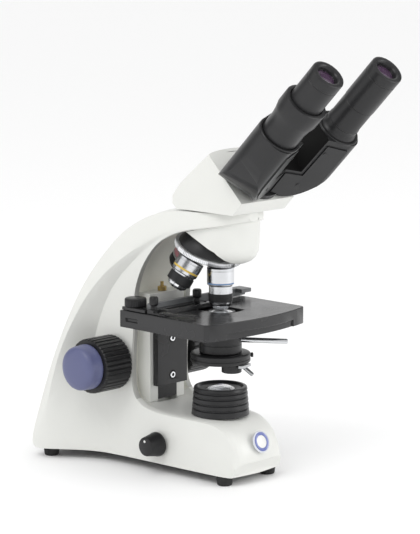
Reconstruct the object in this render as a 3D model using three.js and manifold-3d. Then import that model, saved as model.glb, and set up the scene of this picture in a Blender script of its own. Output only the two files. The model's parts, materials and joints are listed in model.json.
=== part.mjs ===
// A binocular compound microscope, in millimetres, +Z up, +Y away from the user, +X to the user's right.
// The origin is on the table under the middle of the microscope's bounding box.
import * as THREE from "three";
import { mergeVertices } from "three/addons/utils/BufferGeometryUtils.js";
import Module from "manifold-3d";

// ---- Driving dimensions ----
const OPTICAL_AXIS_Y = -10.6; // the optical axis in the part's own frame
const GAP = 0.3; // clearance between pieces that touch
const FOOT_HEIGHT = 8; // the casting's underside above the table
const WALL = 4; // casting wall
const ARM_TOP = 225; // the face that the head turns on
const STAGE_TOP = 140;
const STAGE_HALF_WIDTH = 60;
const STAGE_SKIRT = 14.2;
const LAMP_DECK = 51.4; // top of the base around the lamp collector
const FOCUS_Y = 90; // focus shaft, measured from the optical axis
const FOCUS_Z = 88.3;
const PINION_RADIUS = 6; // pitch radius, so the stage moves 6 mm for each radian
const PINION_TEETH = 20;
const SLIDE_FRONT = 56.5; // front of the carriage plate
const SLIDE_HALF_WIDTH = 11;
const TURRET_APEX = 222.6; // where the turret's axis meets the optical axis
const TURRET_TILT = THREE.MathUtils.degToRad(22);
const SEAT_DISTANCE = 46.4; // from the apex to an objective's shoulder
const PARFOCAL_DISTANCE = 82.1; // from the apex to the longest objective's front
const TUBE_TILT = Math.PI / 4; // eyepiece tubes above the horizontal
const HEAD_FACE = 204.7; // the slanted face, measured along the tubes
const FOLD_AXIS = 153.8; // the fold axis, measured square to the tubes
const FOLD_RADIUS = 37.5; // fold axis to tube axis
const FOLD_REST = THREE.MathUtils.degToRad(20.6); // how far the tubes hang below level
const EYEPIECE_TOP = 347.8; // measured along the tubes
const EYEPIECE_RADIUS = 13.9;
const BARREL_RADIUS = 11.6; // the 23.2 mm eyepiece barrel
const ROUND = 36; // segments of a large round piece
const SMALL_ROUND = 20; // segments of a small one

// ---- Materials ----
const paint = (color, roughness, metalness = 0) =>
  new THREE.MeshStandardMaterial({ color, roughness, metalness });
const white = paint(0xe6e7e2, 0.45);
const black = paint(0x2b2b2c, 0.5);
const stageBlack = paint(0x262626, 0.35);
const rubber = paint(0x161616, 0.85);
const chrome = paint(0xd5d7da, 0.18, 1);
const steel = paint(0x9a9c9f, 0.35, 1);
const brass = paint(0xb08d4a, 0.35, 1);
const blue = paint(0x5a6090, 0.4);
const glass = paint(0xb8c4cc, 0.05);
const greyPlastic = paint(0x6f7274, 0.6);
const boardGreen = paint(0x2f5d3a, 0.6);

// ---- Closed solids ----
const wasm = await Module();
wasm.setup();
const WELD = 1e-4;

// A closed geometry as a manifold solid whose faces point out.
function toSolid(geometry) {
  const bare = geometry.index ? geometry.toNonIndexed() : geometry.clone();
  bare.deleteAttribute("normal");
  bare.deleteAttribute("uv");
  const merged = mergeVertices(bare, WELD);
  const index = merged.index.array;
  const at = merged.attributes.position.array;
  const kept = [];
  let volume = 0;
  for (let i = 0; i < index.length; i += 3) {
    const [a, b, c] = [index[i], index[i + 1], index[i + 2]];
    if (a === b || b === c || c === a) continue;
    kept.push([a, b, c]);
    const [p, q, r] = [a, b, c].map((v) => new THREE.Vector3().fromArray(at, 3 * v));
    volume += p.dot(q.cross(r));
  }
  const outward = kept.map(([a, b, c]) => (volume < 0 ? [a, c, b] : [a, b, c]));
  const triVerts = Uint32Array.from(outward.flat());
  return new wasm.Manifold(new wasm.Mesh({ numProp: 3, vertProperties: at, triVerts }));
}

function toGeometry(solid) {
  const mesh = solid.getMesh();
  const geometry = new THREE.BufferGeometry();
  geometry.setAttribute("position", new THREE.BufferAttribute(mesh.vertProperties, 3));
  geometry.setIndex(new THREE.BufferAttribute(mesh.triVerts, 1));
  return geometry;
}

const join = (...parts) => toGeometry(parts.map(toSolid).reduce((a, b) => a.add(b)));
const cut = (body, ...tools) =>
  toGeometry(tools.map(toSolid).reduce((a, b) => a.subtract(b), toSolid(body)));
const overlap = (a, b) => toGeometry(toSolid(a).intersect(toSolid(b)));

// A profile of [radius, height] points turned about +Z.
function revolve(profile, segments = ROUND) {
  const points = profile.map(([r, z]) => new THREE.Vector2(r, z));
  return new THREE.LatheGeometry(points, segments).rotateX(Math.PI / 2);
}

const disc = (radius, z0, z1, segments = ROUND) =>
  revolve([[0, z0], [radius, z0], [radius, z1], [0, z1]], segments);

const ring = (inner, outer, z0, z1, segments = ROUND) =>
  revolve([[inner, z0], [outer, z0], [outer, z1], [inner, z1], [inner, z0]], segments);

// A box from its lowest to its highest corner.
function block(low, high) {
  const [a, b] = [new THREE.Vector3(...low), new THREE.Vector3(...high)];
  const size = b.clone().sub(a);
  const middle = a.add(b).multiplyScalar(0.5);
  return new THREE.BoxGeometry(size.x, size.y, size.z).translate(middle.x, middle.y, middle.z);
}

const shapeOf = (points) => new THREE.Shape(points.map(([x, y]) => new THREE.Vector2(x, y)));

// An outline in XY raised from z0 to z1.
function raise(outline, z0, z1) {
  const shape = Array.isArray(outline) ? shapeOf(outline) : outline;
  const options = { depth: z1 - z0, bevelEnabled: false, curveSegments: 10 };
  return new THREE.ExtrudeGeometry(shape, options).translate(0, 0, z0);
}

// An outline of [y, z] points run across from x0 to x1.
const across = (outline, x0, x1) =>
  raise(outline, x0, x1).rotateZ(Math.PI / 2).rotateY(Math.PI / 2);

// An outline of [x, z] points run from y0 to y1.
const along = (outline, y0, y1) =>
  raise(outline, 0, y1 - y0).rotateX(Math.PI / 2).translate(0, y1, 0);

// A half outline with x >= 0, mirrored and closed.
const mirrored = (half) => [...half, ...half.filter(([x]) => x > 0).reverse().map(([x, y]) => [-x, y])];

const mirrorX = (geometry) => geometry.clone().scale(-1, 1, 1);

const cylinderAlongX = (radius, x0, x1, y, z, segments = SMALL_ROUND) =>
  disc(radius, x0, x1, segments).rotateY(Math.PI / 2).translate(0, y, z);

const cylinderAlongY = (radius, y0, y1, x, z, segments = SMALL_ROUND) =>
  disc(radius, -y1, -y0, segments).rotateX(Math.PI / 2).translate(x, 0, z);

// A straight round rod between two points.
function rod(from, to, radius, segments = 14) {
  const [a, b] = [new THREE.Vector3(...from), new THREE.Vector3(...to)];
  const direction = b.clone().sub(a);
  const turn = new THREE.Quaternion().setFromUnitVectors(
    new THREE.Vector3(0, 0, 1),
    direction.clone().normalize(),
  );
  return disc(radius, 0, direction.length(), segments).applyQuaternion(turn).translate(a.x, a.y, a.z);
}

// A closed skin over rings of equal point counts, with a fan of faces closing each end.
function skin(rings) {
  const count = rings[0].length;
  const index = [];
  rings.slice(1).forEach((_, i) => {
    for (let k = 0; k < count; k++) {
      const [a, b] = [i * count + k, i * count + ((k + 1) % count)];
      index.push(a, b, b + count, a, b + count, a + count);
    }
  });
  const middle = (points) =>
    points.reduce((sum, p) => sum.add(p), new THREE.Vector3()).divideScalar(count);
  const lastRing = (rings.length - 1) * count;
  const startMiddle = rings.length * count;
  const endMiddle = startMiddle + 1;
  for (let k = 0; k < count; k++) {
    const next = (k + 1) % count;
    index.push(startMiddle, next, k);
    index.push(endMiddle, lastRing + k, lastRing + next);
  }
  const points = [...rings.flat(), middle(rings[0]), middle(rings.at(-1))];
  return new THREE.BufferGeometry()
    .setAttribute("position", new THREE.Float32BufferAttribute(points.flatMap((p) => p.toArray()), 3))
    .setIndex(index);
}

// ---- The scene graph: one group per shared frame ----
const microscope = new THREE.Group();
const stand = new THREE.Group();
stand.position.y = OPTICAL_AXIS_Y;
microscope.add(stand);

const tilted = new THREE.Group(); // local X, square to the tubes (Y) and along the tubes (Z)
tilted.rotation.x = TUBE_TILT;
stand.add(tilted);

const turret = new THREE.Group(); // local -Z runs down the turret's axis
turret.position.z = TURRET_APEX;
turret.rotation.x = TURRET_TILT;
stand.add(turret);

function piece(name, geometry, material, parent = stand) {
  const clean = toGeometry(toSolid(geometry));
  clean.computeVertexNormals();
  const mesh = new THREE.Mesh(clean, material);
  mesh.name = name;
  parent.add(mesh);
  return mesh;
}

// ---- Stand casting: base and arm in one swept body ----
// Each station goes round half of the body: the deck's or the arm's inner edge [y, z], its half
// width, how deep it is scooped, how far its middle bows forward, then three corners [x, y, z] down
// the side, and the underside or the arm's back [y, z] on the middle plane.
const STATIONS = [
  [[-44.5, 19], 25, 0, 3, [28.5, -43, 15], [29, -42, 12], [29.5, -40.5, 8], [-45, 8]],
  [[-44, 27], 25, 0, 3, [30, -40.5, 20], [30.5, -39.5, 13], [31, -38, 8], [-40, 8]],
  [[-40.5, 35.5], 25.5, 0, 2.6, [30.5, -36, 25], [31.5, -35, 15], [32, -34, 8], [-34, 8]],
  [[-33.6, 43.8], 26.5, 0, 2, [31, -29, 31], [32.2, -29, 17], [33, -29, 8], [-29, 8]],
  [[-21, 50.6], 28, 0, 1, [31.8, -19, 34], [33, -19, 18], [34, -19, 8], [-19, 8]],
  [[-6, LAMP_DECK], 30, 0, 0, [33, -4, 34], [34.3, -4, 18], [35, -4, 8], [-4, 8]],
  [[24, LAMP_DECK], 32.5, 0, 0, [35.5, 30, 33], [36.5, 32, 18], [37.3, 36, 8], [36, 8]],
  [[45, 52], 34, 0, 0, [37, 62, 32], [38.3, 68, 18], [39.8, 75, 8], [75, 8]],
  [[57, 54.5], 34, 3, 0, [38, 86, 34], [40, 95, 18], [42.5, 105, 8], [105, 8]],
  [[65, 59], 34, 9, 0, [38.5, 103, 40], [46, 112, 22], [57, 126, 8], [140, 8]],
  [[69, 67], 34, 12, 0, [38.5, 113, 50], [59, 131, 27], [73, 146, 8], [165, 8]],
  [[70.2, 77], 34, 12, 0, [38, 118, 66], [70, 144.5, 34], [76, 158, 8], [177, 8]],
  [[70, 92], 34, 12, 0, [37, 118.5, 86], [65.5, 141, 62], [68, 151.5, 45], [171, 44]],
  [[68, 112], 34, 12, 0, [36, 115, 108], [60, 135.6, 93.5], [60, 144.5, 84], [163, 82]],
  [[67, 132], 34, 12, 0, [35.3, 106, 132], [53.5, 123, 124], [53.5, 131.5, 122], [149, 122]],
  [[66.9, 149], 34, 12, 0, [35, 95, 151], [48, 108.5, 149], [47.5, 117, 154], [132, 156]],
  [[61.7, 166], 34, 12, 0, [34.8, 79, 168.5], [43, 90, 169.5], [42, 101, 177.5], [112, 183]],
  [[50.7, 183.6], 34, 12, 0, [34.5, 59, 185], [39, 64, 187.5], [38, 80, 201], [87, 208]],
  [[35.6, 199], 33.5, 12, 0, [33.8, 38, 200.5], [35, 40, 202.5], [34, 57, 215], [60, 221]],
  [[12, 207.5], 32, 6, 0, [32.5, 13, 209], [32.5, 14, 213], [31.5, 31, 224.4], [30, ARM_TOP]],
  [[-9, 210.7], 30.5, 0, 0, [31.3, -9, 212.5], [31.3, -8, 217], [30.6, -2, ARM_TOP], [-2, ARM_TOP]],
  [[-24, 213.8], 26, 0, 0, [26.8, -24, 215], [27, -24, 219], [26.4, -23, ARM_TOP], [-23, ARM_TOP]],
  [[-33.5, 216.3], 16, 0, 0, [16.6, -33.5, 217.5], [17, -33.5, 220.5], [16.4, -33, ARM_TOP], [-33, ARM_TOP]],
  [[-37.5, 217.6], 5, 0, 0, [5.5, -37.7, 218.5], [5.7, -37.8, 221], [5.2, -37.4, 225], [-37.4, ARM_TOP]],
];
const RIM = 5.5; // width of the rim on each side of the recess
const STATION_STEPS = 2; // rings for each station after smoothing

// The half ring of one station, from the middle of the inner edge to the middle of the back.
function halfRing([inner, half, scoop, bow, panel, facet, edge, back]) {
  const start = new THREE.Vector3(0, ...inner);
  const inward = new THREE.Vector3(0, ...back).sub(start).normalize();
  const at = (x, depth) => {
    const forward = bow * (1 - (x / half) ** 2);
    return new THREE.Vector3(x, start.y - forward, start.z).addScaledVector(inward, depth);
  };
  return [
    at(0, scoop),
    at((half - RIM) * 0.86, scoop * 0.92),
    at(half - RIM, scoop * 0.15),
    at(half, 1.2),
    new THREE.Vector3(...panel),
    new THREE.Vector3(...facet),
    new THREE.Vector3(...edge),
    new THREE.Vector3(0, ...back),
  ];
}

const mirrorPoint = (p) => new THREE.Vector3(-p.x, p.y, p.z);
const fullRing = (half) => [...half, ...half.slice(1, -1).reverse().map(mirrorPoint)];

// Rails through the stations, smoothed and sampled again, between the underside and the top.
function smoothRings(halfRings, steps) {
  const last = halfRings.length - 1;
  const rails = halfRings[0].map((_, k) => {
    const points = halfRings.map((half) => half[k]);
    return new THREE.CatmullRomCurve3(points, false, "catmullrom", 0.4);
  });
  return Array.from({ length: last * steps + 1 }, (_, i) =>
    rails.map((rail) => {
      const p = rail.getPoint(i / (last * steps));
      p.z = THREE.MathUtils.clamp(p.z, FOOT_HEIGHT, ARM_TOP);
      return p;
    }),
  );
}

const castingSkin = skin(smoothRings(STATIONS.map(halfRing), STATION_STEPS).map(fullRing));

// The hollow inside: the casting's ring drawn in by the wall, and open below under the base.
const HOLLOW_FIRST = 3;
const HOLLOW_LAST = 16;
const HOLLOW_SHARE = 0.93; // the far corners are also pulled in towards the middle
function hollowRing(station) {
  const half = halfRing(station);
  const inward = half.at(-1).clone().sub(half[0]).normalize();
  const opensBelow = half.at(-1).z === FOOT_HEIGHT;
  const narrowed = (p) => Math.max((p.x - WALL) * HOLLOW_SHARE, 0);
  const side = (p) => new THREE.Vector3(narrowed(p), p.y, p.z).addScaledVector(inward, -1.5);
  const far = (p) =>
    opensBelow
      ? new THREE.Vector3(Math.max(p.x - WALL, 0), p.y, FOOT_HEIGHT - 2)
      : new THREE.Vector3(narrowed(p), p.y, p.z).addScaledVector(inward, -WALL - 1);
  const front = half[0].clone().addScaledVector(inward, WALL);
  const corner = new THREE.Vector3(half[3].x - WALL - 2, front.y, front.z);
  return [front, corner, side(half[4]), side(half[5]), far(half[6]), far(half[7])];
}
const hollowStations = STATIONS.slice(HOLLOW_FIRST, HOLLOW_LAST + 1);
const hollow = skin(hollowStations.map((s) => fullRing(hollowRing(s))));

const DOVETAIL_RADIUS = 20;
const SLIDE_WELL = 47; // bottom of the well that the carriage slide runs down into
const RACK_SLOT = [[-7, 60], [7, 60], [7, 134], [-7, 134]];
const BRIGHTNESS_Y = 36.2;
const BRIGHTNESS_Z = 25.5;
const SHAFT_RADIUS = 5;
const REAR_PANEL_Z = 27;
const INLET_X = -22;
const SWITCH_X = 22;
const SWITCH_WIDTH = 19;
const SWITCH_HEIGHT = 13;
const INLET_RADIUS = 5.8;
const BASE_PLATE_HALF = [
  [0, -33], [22, -33], [26, -29.5], [28, -20], [31, 36], [35.5, 100],
  [49, 122], [65, 143], [68, 156], [40, 164], [0, 170],
];
const grow = (outline, by) => outline.map(([x, y]) => [x && x + by, y + Math.sign(y - 60) * by]);

piece(
  "stand_casting",
  cut(
    castingSkin,
    hollow,
    raise(mirrored(grow(BASE_PLATE_HALF, GAP + 0.1)), FOOT_HEIGHT - 1, FOOT_HEIGHT + 2.2),
    along(RACK_SLOT, 76, 100),
    block([-12, 61.6, SLIDE_WELL], [12, 72, 62]),
    cylinderAlongX(SHAFT_RADIUS + 1.2, -60, 60, FOCUS_Y, FOCUS_Z),
    cylinderAlongX(3.4, -60, -20, BRIGHTNESS_Y, BRIGHTNESS_Z),
    disc(DOVETAIL_RADIUS + 0.4, 200, ARM_TOP + 1),
    disc(12, 38, LAMP_DECK + 5),
    cylinderAlongY(INLET_RADIUS + 0.2, 158, 185, INLET_X, REAR_PANEL_Z),
    block(
      [SWITCH_X - SWITCH_WIDTH / 2, 158, REAR_PANEL_Z - SWITCH_HEIGHT / 2],
      [SWITCH_X + SWITCH_WIDTH / 2, 185, REAR_PANEL_Z + SWITCH_HEIGHT / 2],
    ),
    cylinderAlongX(2.2, 10, 40, 0, 219.5),
  ),
  white,
);

piece("base_plate", raise(mirrored(BASE_PLATE_HALF), FOOT_HEIGHT + 0.1, FOOT_HEIGHT + 1.9), black);

for (const [name, x, y] of [
  ["foot_front_left", -26, -29.5],
  ["foot_front_right", 26, -29.5],
  ["foot_rear_left", -57.6, 148],
  ["foot_rear_right", 57.6, 148],
]) {
  const profile = [[0, 0], [5.6, 0], [6.2, 0.6], [7.2, FOOT_HEIGHT - GAP], [0, FOOT_HEIGHT - GAP]];
  const foot = revolve(profile, SMALL_ROUND);
  piece(name, foot.translate(x, y, 0), rubber);
}

// ---- Base electrics: brightness control, inlet, switch, lamp ----
const BRIGHTNESS_X = -38.6; // inner face of the knob
piece(
  "brightness_knob",
  join(
    revolve([[0, 0], [10.2, 0], [10.2, 2.5], [8.1, 13.6], [7.2, 15], [0, 15]], 28),
    disc(1.1, 14.6, 15.4, 10).translate(4.6, 0.3, 0),
    disc(2.6, -14, 1, 12),
  ).rotateY(-Math.PI / 2).translate(BRIGHTNESS_X, BRIGHTNESS_Y, BRIGHTNESS_Z),
  black,
);
piece(
  "dimmer_potentiometer",
  cut(
    block([-28.6, BRIGHTNESS_Y - 7, BRIGHTNESS_Z - 7], [-18.6, BRIGHTNESS_Y + 7, BRIGHTNESS_Z + 7]),
    cylinderAlongX(3, -34, -23.6, BRIGHTNESS_Y, BRIGHTNESS_Z),
  ),
  greyPlastic,
);
piece(
  "dc_inlet",
  cut(
    join(
      cylinderAlongY(INLET_RADIUS, 155, 174.5, INLET_X, REAR_PANEL_Z),
      cylinderAlongY(7.6, 174.4, 175.4, INLET_X, REAR_PANEL_Z),
    ),
    cylinderAlongY(4, 164, 180, INLET_X, REAR_PANEL_Z),
  ),
  black,
);
const ROCKER_PROFILE = [[-4, -5], [0, -5.8], [2.6, -5.3], [1.4, 0], [2.6, 5.3], [0, 5.8], [-4, 5]];
piece(
  "power_rocker",
  across(ROCKER_PROFILE, 0.6 - SWITCH_WIDTH / 2, SWITCH_WIDTH / 2 - 0.6).translate(SWITCH_X, 172.4, REAR_PANEL_Z),
  black,
);
piece(
  "front_badge",
  disc(9.2, 0, 1.4, 24).rotateX(Math.PI / 2 - 0.36).translate(0, -45.9, 34.6),
  blue,
);

const COLLECTOR_TOP = 75.3;
const COLLECTOR_SEGMENTS = 30;
const COLLECTOR_GROOVES = [57.2, 62.2, 67.2, 71.6];
const collectorSide = (z) => 24.4 - (2 * (z - LAMP_DECK)) / (COLLECTOR_TOP - LAMP_DECK);
const collectorProfile = [
  [12.5, LAMP_DECK + GAP],
  [24.4, LAMP_DECK + GAP],
  ...COLLECTOR_GROOVES.flatMap((z) => [
    [collectorSide(z), z - 1],
    [collectorSide(z) - 1.3, z - 0.4],
    [collectorSide(z) - 1.3, z + 0.4],
    [collectorSide(z), z + 1],
  ]),
  [22.4, COLLECTOR_TOP - 1.2],
  [21.2, COLLECTOR_TOP],
  [19.4, COLLECTOR_TOP],
  [17.4, 73.4],
  [12.5, 72.8],
  [12.5, LAMP_DECK + GAP],
];
piece("collector_housing", revolve(collectorProfile, COLLECTOR_SEGMENTS), black);
const LENS_DOME = [[0, 68], [12.2, 68], [12.2, 73.1], [8.5, 74.7], [4, 75.7], [0, 76]];
piece("collector_lens", revolve(LENS_DOME, 28), glass);
piece("lamp_board", join(disc(15, 40, 41.6, 24), disc(4, 41.5, 44, 16), disc(9, 31, 40.1, 16)), boardGreen);

// ---- Arm front: guide block with the carriage slide, and the stage stop screw ----
const GUIDE_FRONT = 63;
const GUIDE_BACK = 80;
const CHANNEL_BACK = 70.6;
const STOP_SCREW_Y = 69;
piece(
  "guide_block",
  cut(
    block([-20.5, GUIDE_FRONT, 54], [20.5, GUIDE_BACK, 147.5]),
    castingSkin.clone().translate(0, -GAP, GAP),
    block([-SLIDE_HALF_WIDTH - GAP, GUIDE_FRONT - 1, 50], [SLIDE_HALF_WIDTH + GAP, CHANNEL_BACK, 136]),
    block([-5, CHANNEL_BACK - 1, 62], [5, GUIDE_BACK + 1, 134]),
    disc(1.9, 139, 150, 12).translate(0, STOP_SCREW_Y, 0),
  ),
  white,
);
piece(
  "stage_stop_screw",
  join(disc(1.5, 141, 155.5, 12), disc(3.9, 147.8, 151.4, SMALL_ROUND)).translate(0, STOP_SCREW_Y, 0),
  brass,
);

// ---- Nosepiece housing under the front of the arm ----
const BULB_CENTRE = -8;
const BULB_RADIUS = 26.5;
const bulbPlan = new THREE.Shape();
bulbPlan.moveTo(BULB_RADIUS, 34);
bulbPlan.lineTo(BULB_RADIUS, BULB_CENTRE);
bulbPlan.absarc(0, BULB_CENTRE, BULB_RADIUS, 0, -Math.PI, true);
bulbPlan.lineTo(-BULB_RADIUS, 34);
const FACE_HEIGHT = 200.1; // the slanted underside on the optical axis
const FACE_SLOPE = 0.474;
const faceZ = (y) => FACE_HEIGHT + FACE_SLOPE * y;
// Side outline: the front is rounded under into a lip that hangs below the slanted face.
const BULB_PROFILE = [
  [-34.5, 219], [-35.2, 198], [-34.6, 191], [-32.6, 186], [-29, 182.9], [-25, 182.6], [-20.5, 187.6],
  [-16, faceZ(-16)], [30, faceZ(30)], [30, 219],
];
const NOSE_BORE = 8.5;
piece(
  "nosepiece_housing",
  cut(
    overlap(raise(bulbPlan, 170, 219), across(BULB_PROFILE, -30, 30)),
    castingSkin.clone().translate(0, 0, -GAP),
    castingSkin.clone().translate(0, 0, 3),
    disc(NOSE_BORE, 170, 230, 20),
  ),
  white,
);

const underFace = across([[-40, faceZ(-40) - GAP], [40, faceZ(40) - GAP], [40, 170], [-40, 150]], -30, 30);
piece(
  "nosepiece_base",
  cut(
    overlap(disc(21, -22.2, -14).rotateX(TURRET_TILT).translate(0, 0, TURRET_APEX), underFace),
    castingSkin.clone().translate(0, 0, -GAP),
    disc(NOSE_BORE, 170, 230, 20),
  ),
  black,
);

// ---- Turret: black cone, knurled rim and four objectives ----
const RIM_RADIUS = 29.4;
piece(
  "turret_cone",
  revolve([[0, -22.5], [20, -22.5], [26.4, -33.2], [26.4, -39.1], [6, -47.4], [0, -48]]),
  black,
  turret,
);
piece(
  "turret_rim",
  revolve([
    [26.7, -33.6], [28, -33.3], [RIM_RADIUS, -34.2], [RIM_RADIUS, -37.6], [28.6, -38.2], [26.7, -38.9], [26.7, -33.6],
  ]),
  chrome,
  turret,
);

// Objective profiles: [radius, distance from the apex] below the shoulder.
const SHOULDER = SEAT_DISTANCE + GAP;
const highPower = (tip) => [
  [11.4, SHOULDER], [11.4, 61.2], [9.8, 62.4], [9.8, 68.6], [10.2, 68.9], [10.2, 75.4], [9.4, 75.8], [9, 77.6],
  [tip + 0.6, PARFOCAL_DISTANCE - 0.9], [tip, PARFOCAL_DISTANCE],
];
const mediumPower = [
  [11.4, SHOULDER], [11.4, 59.4], [8.8, 60.8], [9.6, 61.8], [9.6, 69.2], [8.6, 69.6], [8.2, 71.6], [6.4, 73.7],
];
const lowPower = [[11.4, SHOULDER], [11.4, 60.4], [10.4, 61.2], [10.4, 67], [8.8, 70.6]];
const OBJECTIVES = [
  ["objective_40x", 0, highPower(5.2)],
  ["objective_10x", 1, mediumPower],
  ["objective_4x", 2, lowPower],
  ["objective_100x", 3, highPower(4)],
];
for (const [name, position, profile] of OBJECTIVES) {
  const place = new THREE.Group();
  place.rotation.z = (-position * Math.PI) / 2;
  const lean = new THREE.Group();
  lean.rotation.x = -TURRET_TILT;
  place.add(lean);
  turret.add(place);
  const outline = [[0, -SHOULDER], ...profile.map(([r, l]) => [r, -l]), [0, -profile.at(-1)[1]]];
  piece(name, revolve(outline, 26), steel, lean);
}

// ---- Head: white housing over a dovetail ring ----
const HEAD_HALF_WIDTH = 31.4;
const HEAD_BOTTOM = 226;
// Side outline [y, z, bulge]: bulge moves the middle of the head outwards.
const HEAD_OUTLINE = [
  [20.5, HEAD_BOTTOM, 0], [-42.7, HEAD_BOTTOM, 0], [-52.4, 236.2, 0], [-52.9, 236.6, 0],
  [-17.2, 272.3, 0], [-15.6, 272.2, 6], [-7, 264.6, 7], [5.5, 254.6, 7], [17, 246, 6], [25, 237, 4], [25, 230, 3],
];
const HEAD_SECTIONS = [-1, -0.94, -0.8, -0.55, -0.28, 0, 0.28, 0.55, 0.8, 0.94, 1];
function headRing(share, inset = 0) {
  const middle = new THREE.Vector2(-12, 246);
  const arch = Math.sqrt(Math.max(0, 1 - share * share));
  return HEAD_OUTLINE.map(([y, z, bulge]) => {
    const outward = new THREE.Vector2(y, z).sub(middle).normalize();
    const reach = bulge * arch - inset;
    return new THREE.Vector3(share * (HEAD_HALF_WIDTH - inset), y + outward.x * reach, z + outward.y * reach);
  });
}
// The skin runs across the head, so its caps are flat side faces.
function headSkin(inset) {
  const rings = HEAD_SECTIONS.map((share) => headRing(share, inset));
  const turned = rings.map((points) => points.map((p) => new THREE.Vector3(p.y, p.x, p.z)));
  const made = skin(turned);
  const position = made.attributes.position;
  for (let i = 0; i < position.count; i++)
    position.setXYZ(i, position.getY(i), position.getX(i), position.getZ(i));
  return made;
}
const slantedCut = (u0, u1) =>
  block([-40, 100, u0], [40, 220, u1]).rotateX(TUBE_TILT);
piece(
  "head_housing",
  cut(
    headSkin(0),
    headSkin(WALL),
    disc(DOVETAIL_RADIUS - 3, 220, 240),
    slantedCut(HEAD_FACE, HEAD_FACE + 30),
    disc(9, HEAD_FACE - 12, HEAD_FACE + 2, 20).translate(0, FOLD_AXIS, 0).rotateX(TUBE_TILT),
  ),
  white,
);
piece("head_dovetail", ring(13, DOVETAIL_RADIUS, 213, HEAD_BOTTOM - GAP), chrome);
const lockScrew = join(
  disc(1.8, 0, 12, 12),
  revolve([[0, 11.6], [3.4, 11.6], [3.8, 12.2], [3.8, 16.4], [3.2, 17.4], [0, 17.4]], SMALL_ROUND),
);
piece("head_lock_screw", lockScrew.rotateY(Math.PI / 2).translate(DOVETAIL_RADIUS + 0.6, 0, 219.5), steel);
const HUB_RADIUS = 23;
piece(
  "fold_hub",
  ring(9, HUB_RADIUS, HEAD_FACE + GAP, HEAD_FACE + 4.8).translate(0, FOLD_AXIS, 0),
  black,
  tilted,
);
piece("beamsplitter_prism", block([-9, 143, 186], [9, 159, 199]), glass, tilted);

// ---- Folding tubes: the right one is drawn, the left one is its mirror image ----
const TUBE_BOTTOM = 207.2;
const TUBE_TOP = 277;
const HUB_CLEAR = HEAD_FACE + 5.1;
const tubeOutline = new THREE.Shape(); // in the fold frame: outwards, along the tube
tubeOutline.moveTo(0.2, TUBE_BOTTOM);
tubeOutline.lineTo(22, TUBE_BOTTOM);
tubeOutline.bezierCurveTo(38, TUBE_BOTTOM + 2.3, 55, 236, 55.8, 262);
tubeOutline.lineTo(55.8, TUBE_TOP);
tubeOutline.lineTo(22.5, TUBE_TOP);
tubeOutline.lineTo(21.5, 238);
tubeOutline.lineTo(0.2, 236.5);
const tubeSection = new THREE.Shape(); // in the fold frame: outwards, square to the tube
tubeSection.moveTo(0.6, -0.4);
tubeSection.lineTo(6.8, -17);
tubeSection.lineTo(45, -17);
tubeSection.bezierCurveTo(51.5, -16.5, 56, -10, 56, 0);
tubeSection.absarc(FOLD_RADIUS, 0, 18.5, 0, Math.PI / 2, false);
tubeSection.lineTo(22.9, 18);
tubeSection.lineTo(0.6, 0);
const rightHousing = cut(
  overlap(raise(tubeOutline, -20, 20).rotateX(Math.PI / 2), raise(tubeSection, 200, 280)),
  disc(HUB_RADIUS + 0.5, 200, HUB_CLEAR),
  disc(BARREL_RADIUS + 0.4, 246, TUBE_TOP + 2, 24).translate(FOLD_RADIUS, 0, 0),
);
const coverOutline = [
  [8.2, HUB_CLEAR + 0.6], [25, HUB_CLEAR + 0.6], [32, 215], [39.6, 223], [44.6, 232],
  [45, 240], [45, 271], [25.4, 271], [24.4, 235], [8.2, 233.6],
];
const coverScrew = (x, u) => cylinderAlongY(1.7, -18.9, -18.1, x, u, 12);
const rightCover = join(
  raise(coverOutline, 17.3, 18.4).rotateX(Math.PI / 2),
  coverScrew(27.8, 263),
  coverScrew(26.3, 224.1),
);

function foldGroup(side) {
  const group = new THREE.Group();
  group.position.y = FOLD_AXIS;
  group.rotation.z = -side * FOLD_REST;
  tilted.add(group);
  return group;
}
const rightFold = foldGroup(1);
const leftFold = foldGroup(-1);
piece("right_tube_housing", rightHousing, black, rightFold);
piece("left_tube_housing", mirrorX(rightHousing), black, leftFold);
piece("right_tube_cover", rightCover, black, rightFold);
piece("left_tube_cover", mirrorX(rightCover), black, leftFold);

// Right: a fixed sleeve. Left: the dioptre ring with a flared collar.
const SLEEVE_TOP = 309;
const onTube = (geometry, side) => geometry.translate(side * FOLD_RADIUS, 0, 0);
piece(
  "right_eyepiece_sleeve",
  onTube(revolve([
    [BARREL_RADIUS + 0.4, TUBE_TOP + GAP], [16.4, TUBE_TOP + GAP], [16.4, 278.6], [14.1, 280.4], [14.1, 286],
    [13.6, 286.6], [13.6, SLEEVE_TOP - GAP], [BARREL_RADIUS + 0.4, SLEEVE_TOP - GAP],
    [BARREL_RADIUS + 0.4, TUBE_TOP + GAP],
  ]), 1),
  black,
  rightFold,
);
const COLLAR_SEAT = 306;
piece(
  "diopter_ring",
  onTube(revolve([
    [BARREL_RADIUS + 0.4, TUBE_TOP + GAP], [15.2, TUBE_TOP + GAP], [15.6, 278], [15.6, 291], [16.3, 297], [17.9, 303],
    [17.9, 315.6], [17.2, 316.6], [14.3, 316.6], [14.3, COLLAR_SEAT - GAP], [BARREL_RADIUS + 0.4, COLLAR_SEAT - GAP],
    [BARREL_RADIUS + 0.4, TUBE_TOP + GAP],
  ]), -1),
  black,
  leftFold,
);
const EYE_LENS_RADIUS = 8.2;
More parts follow.
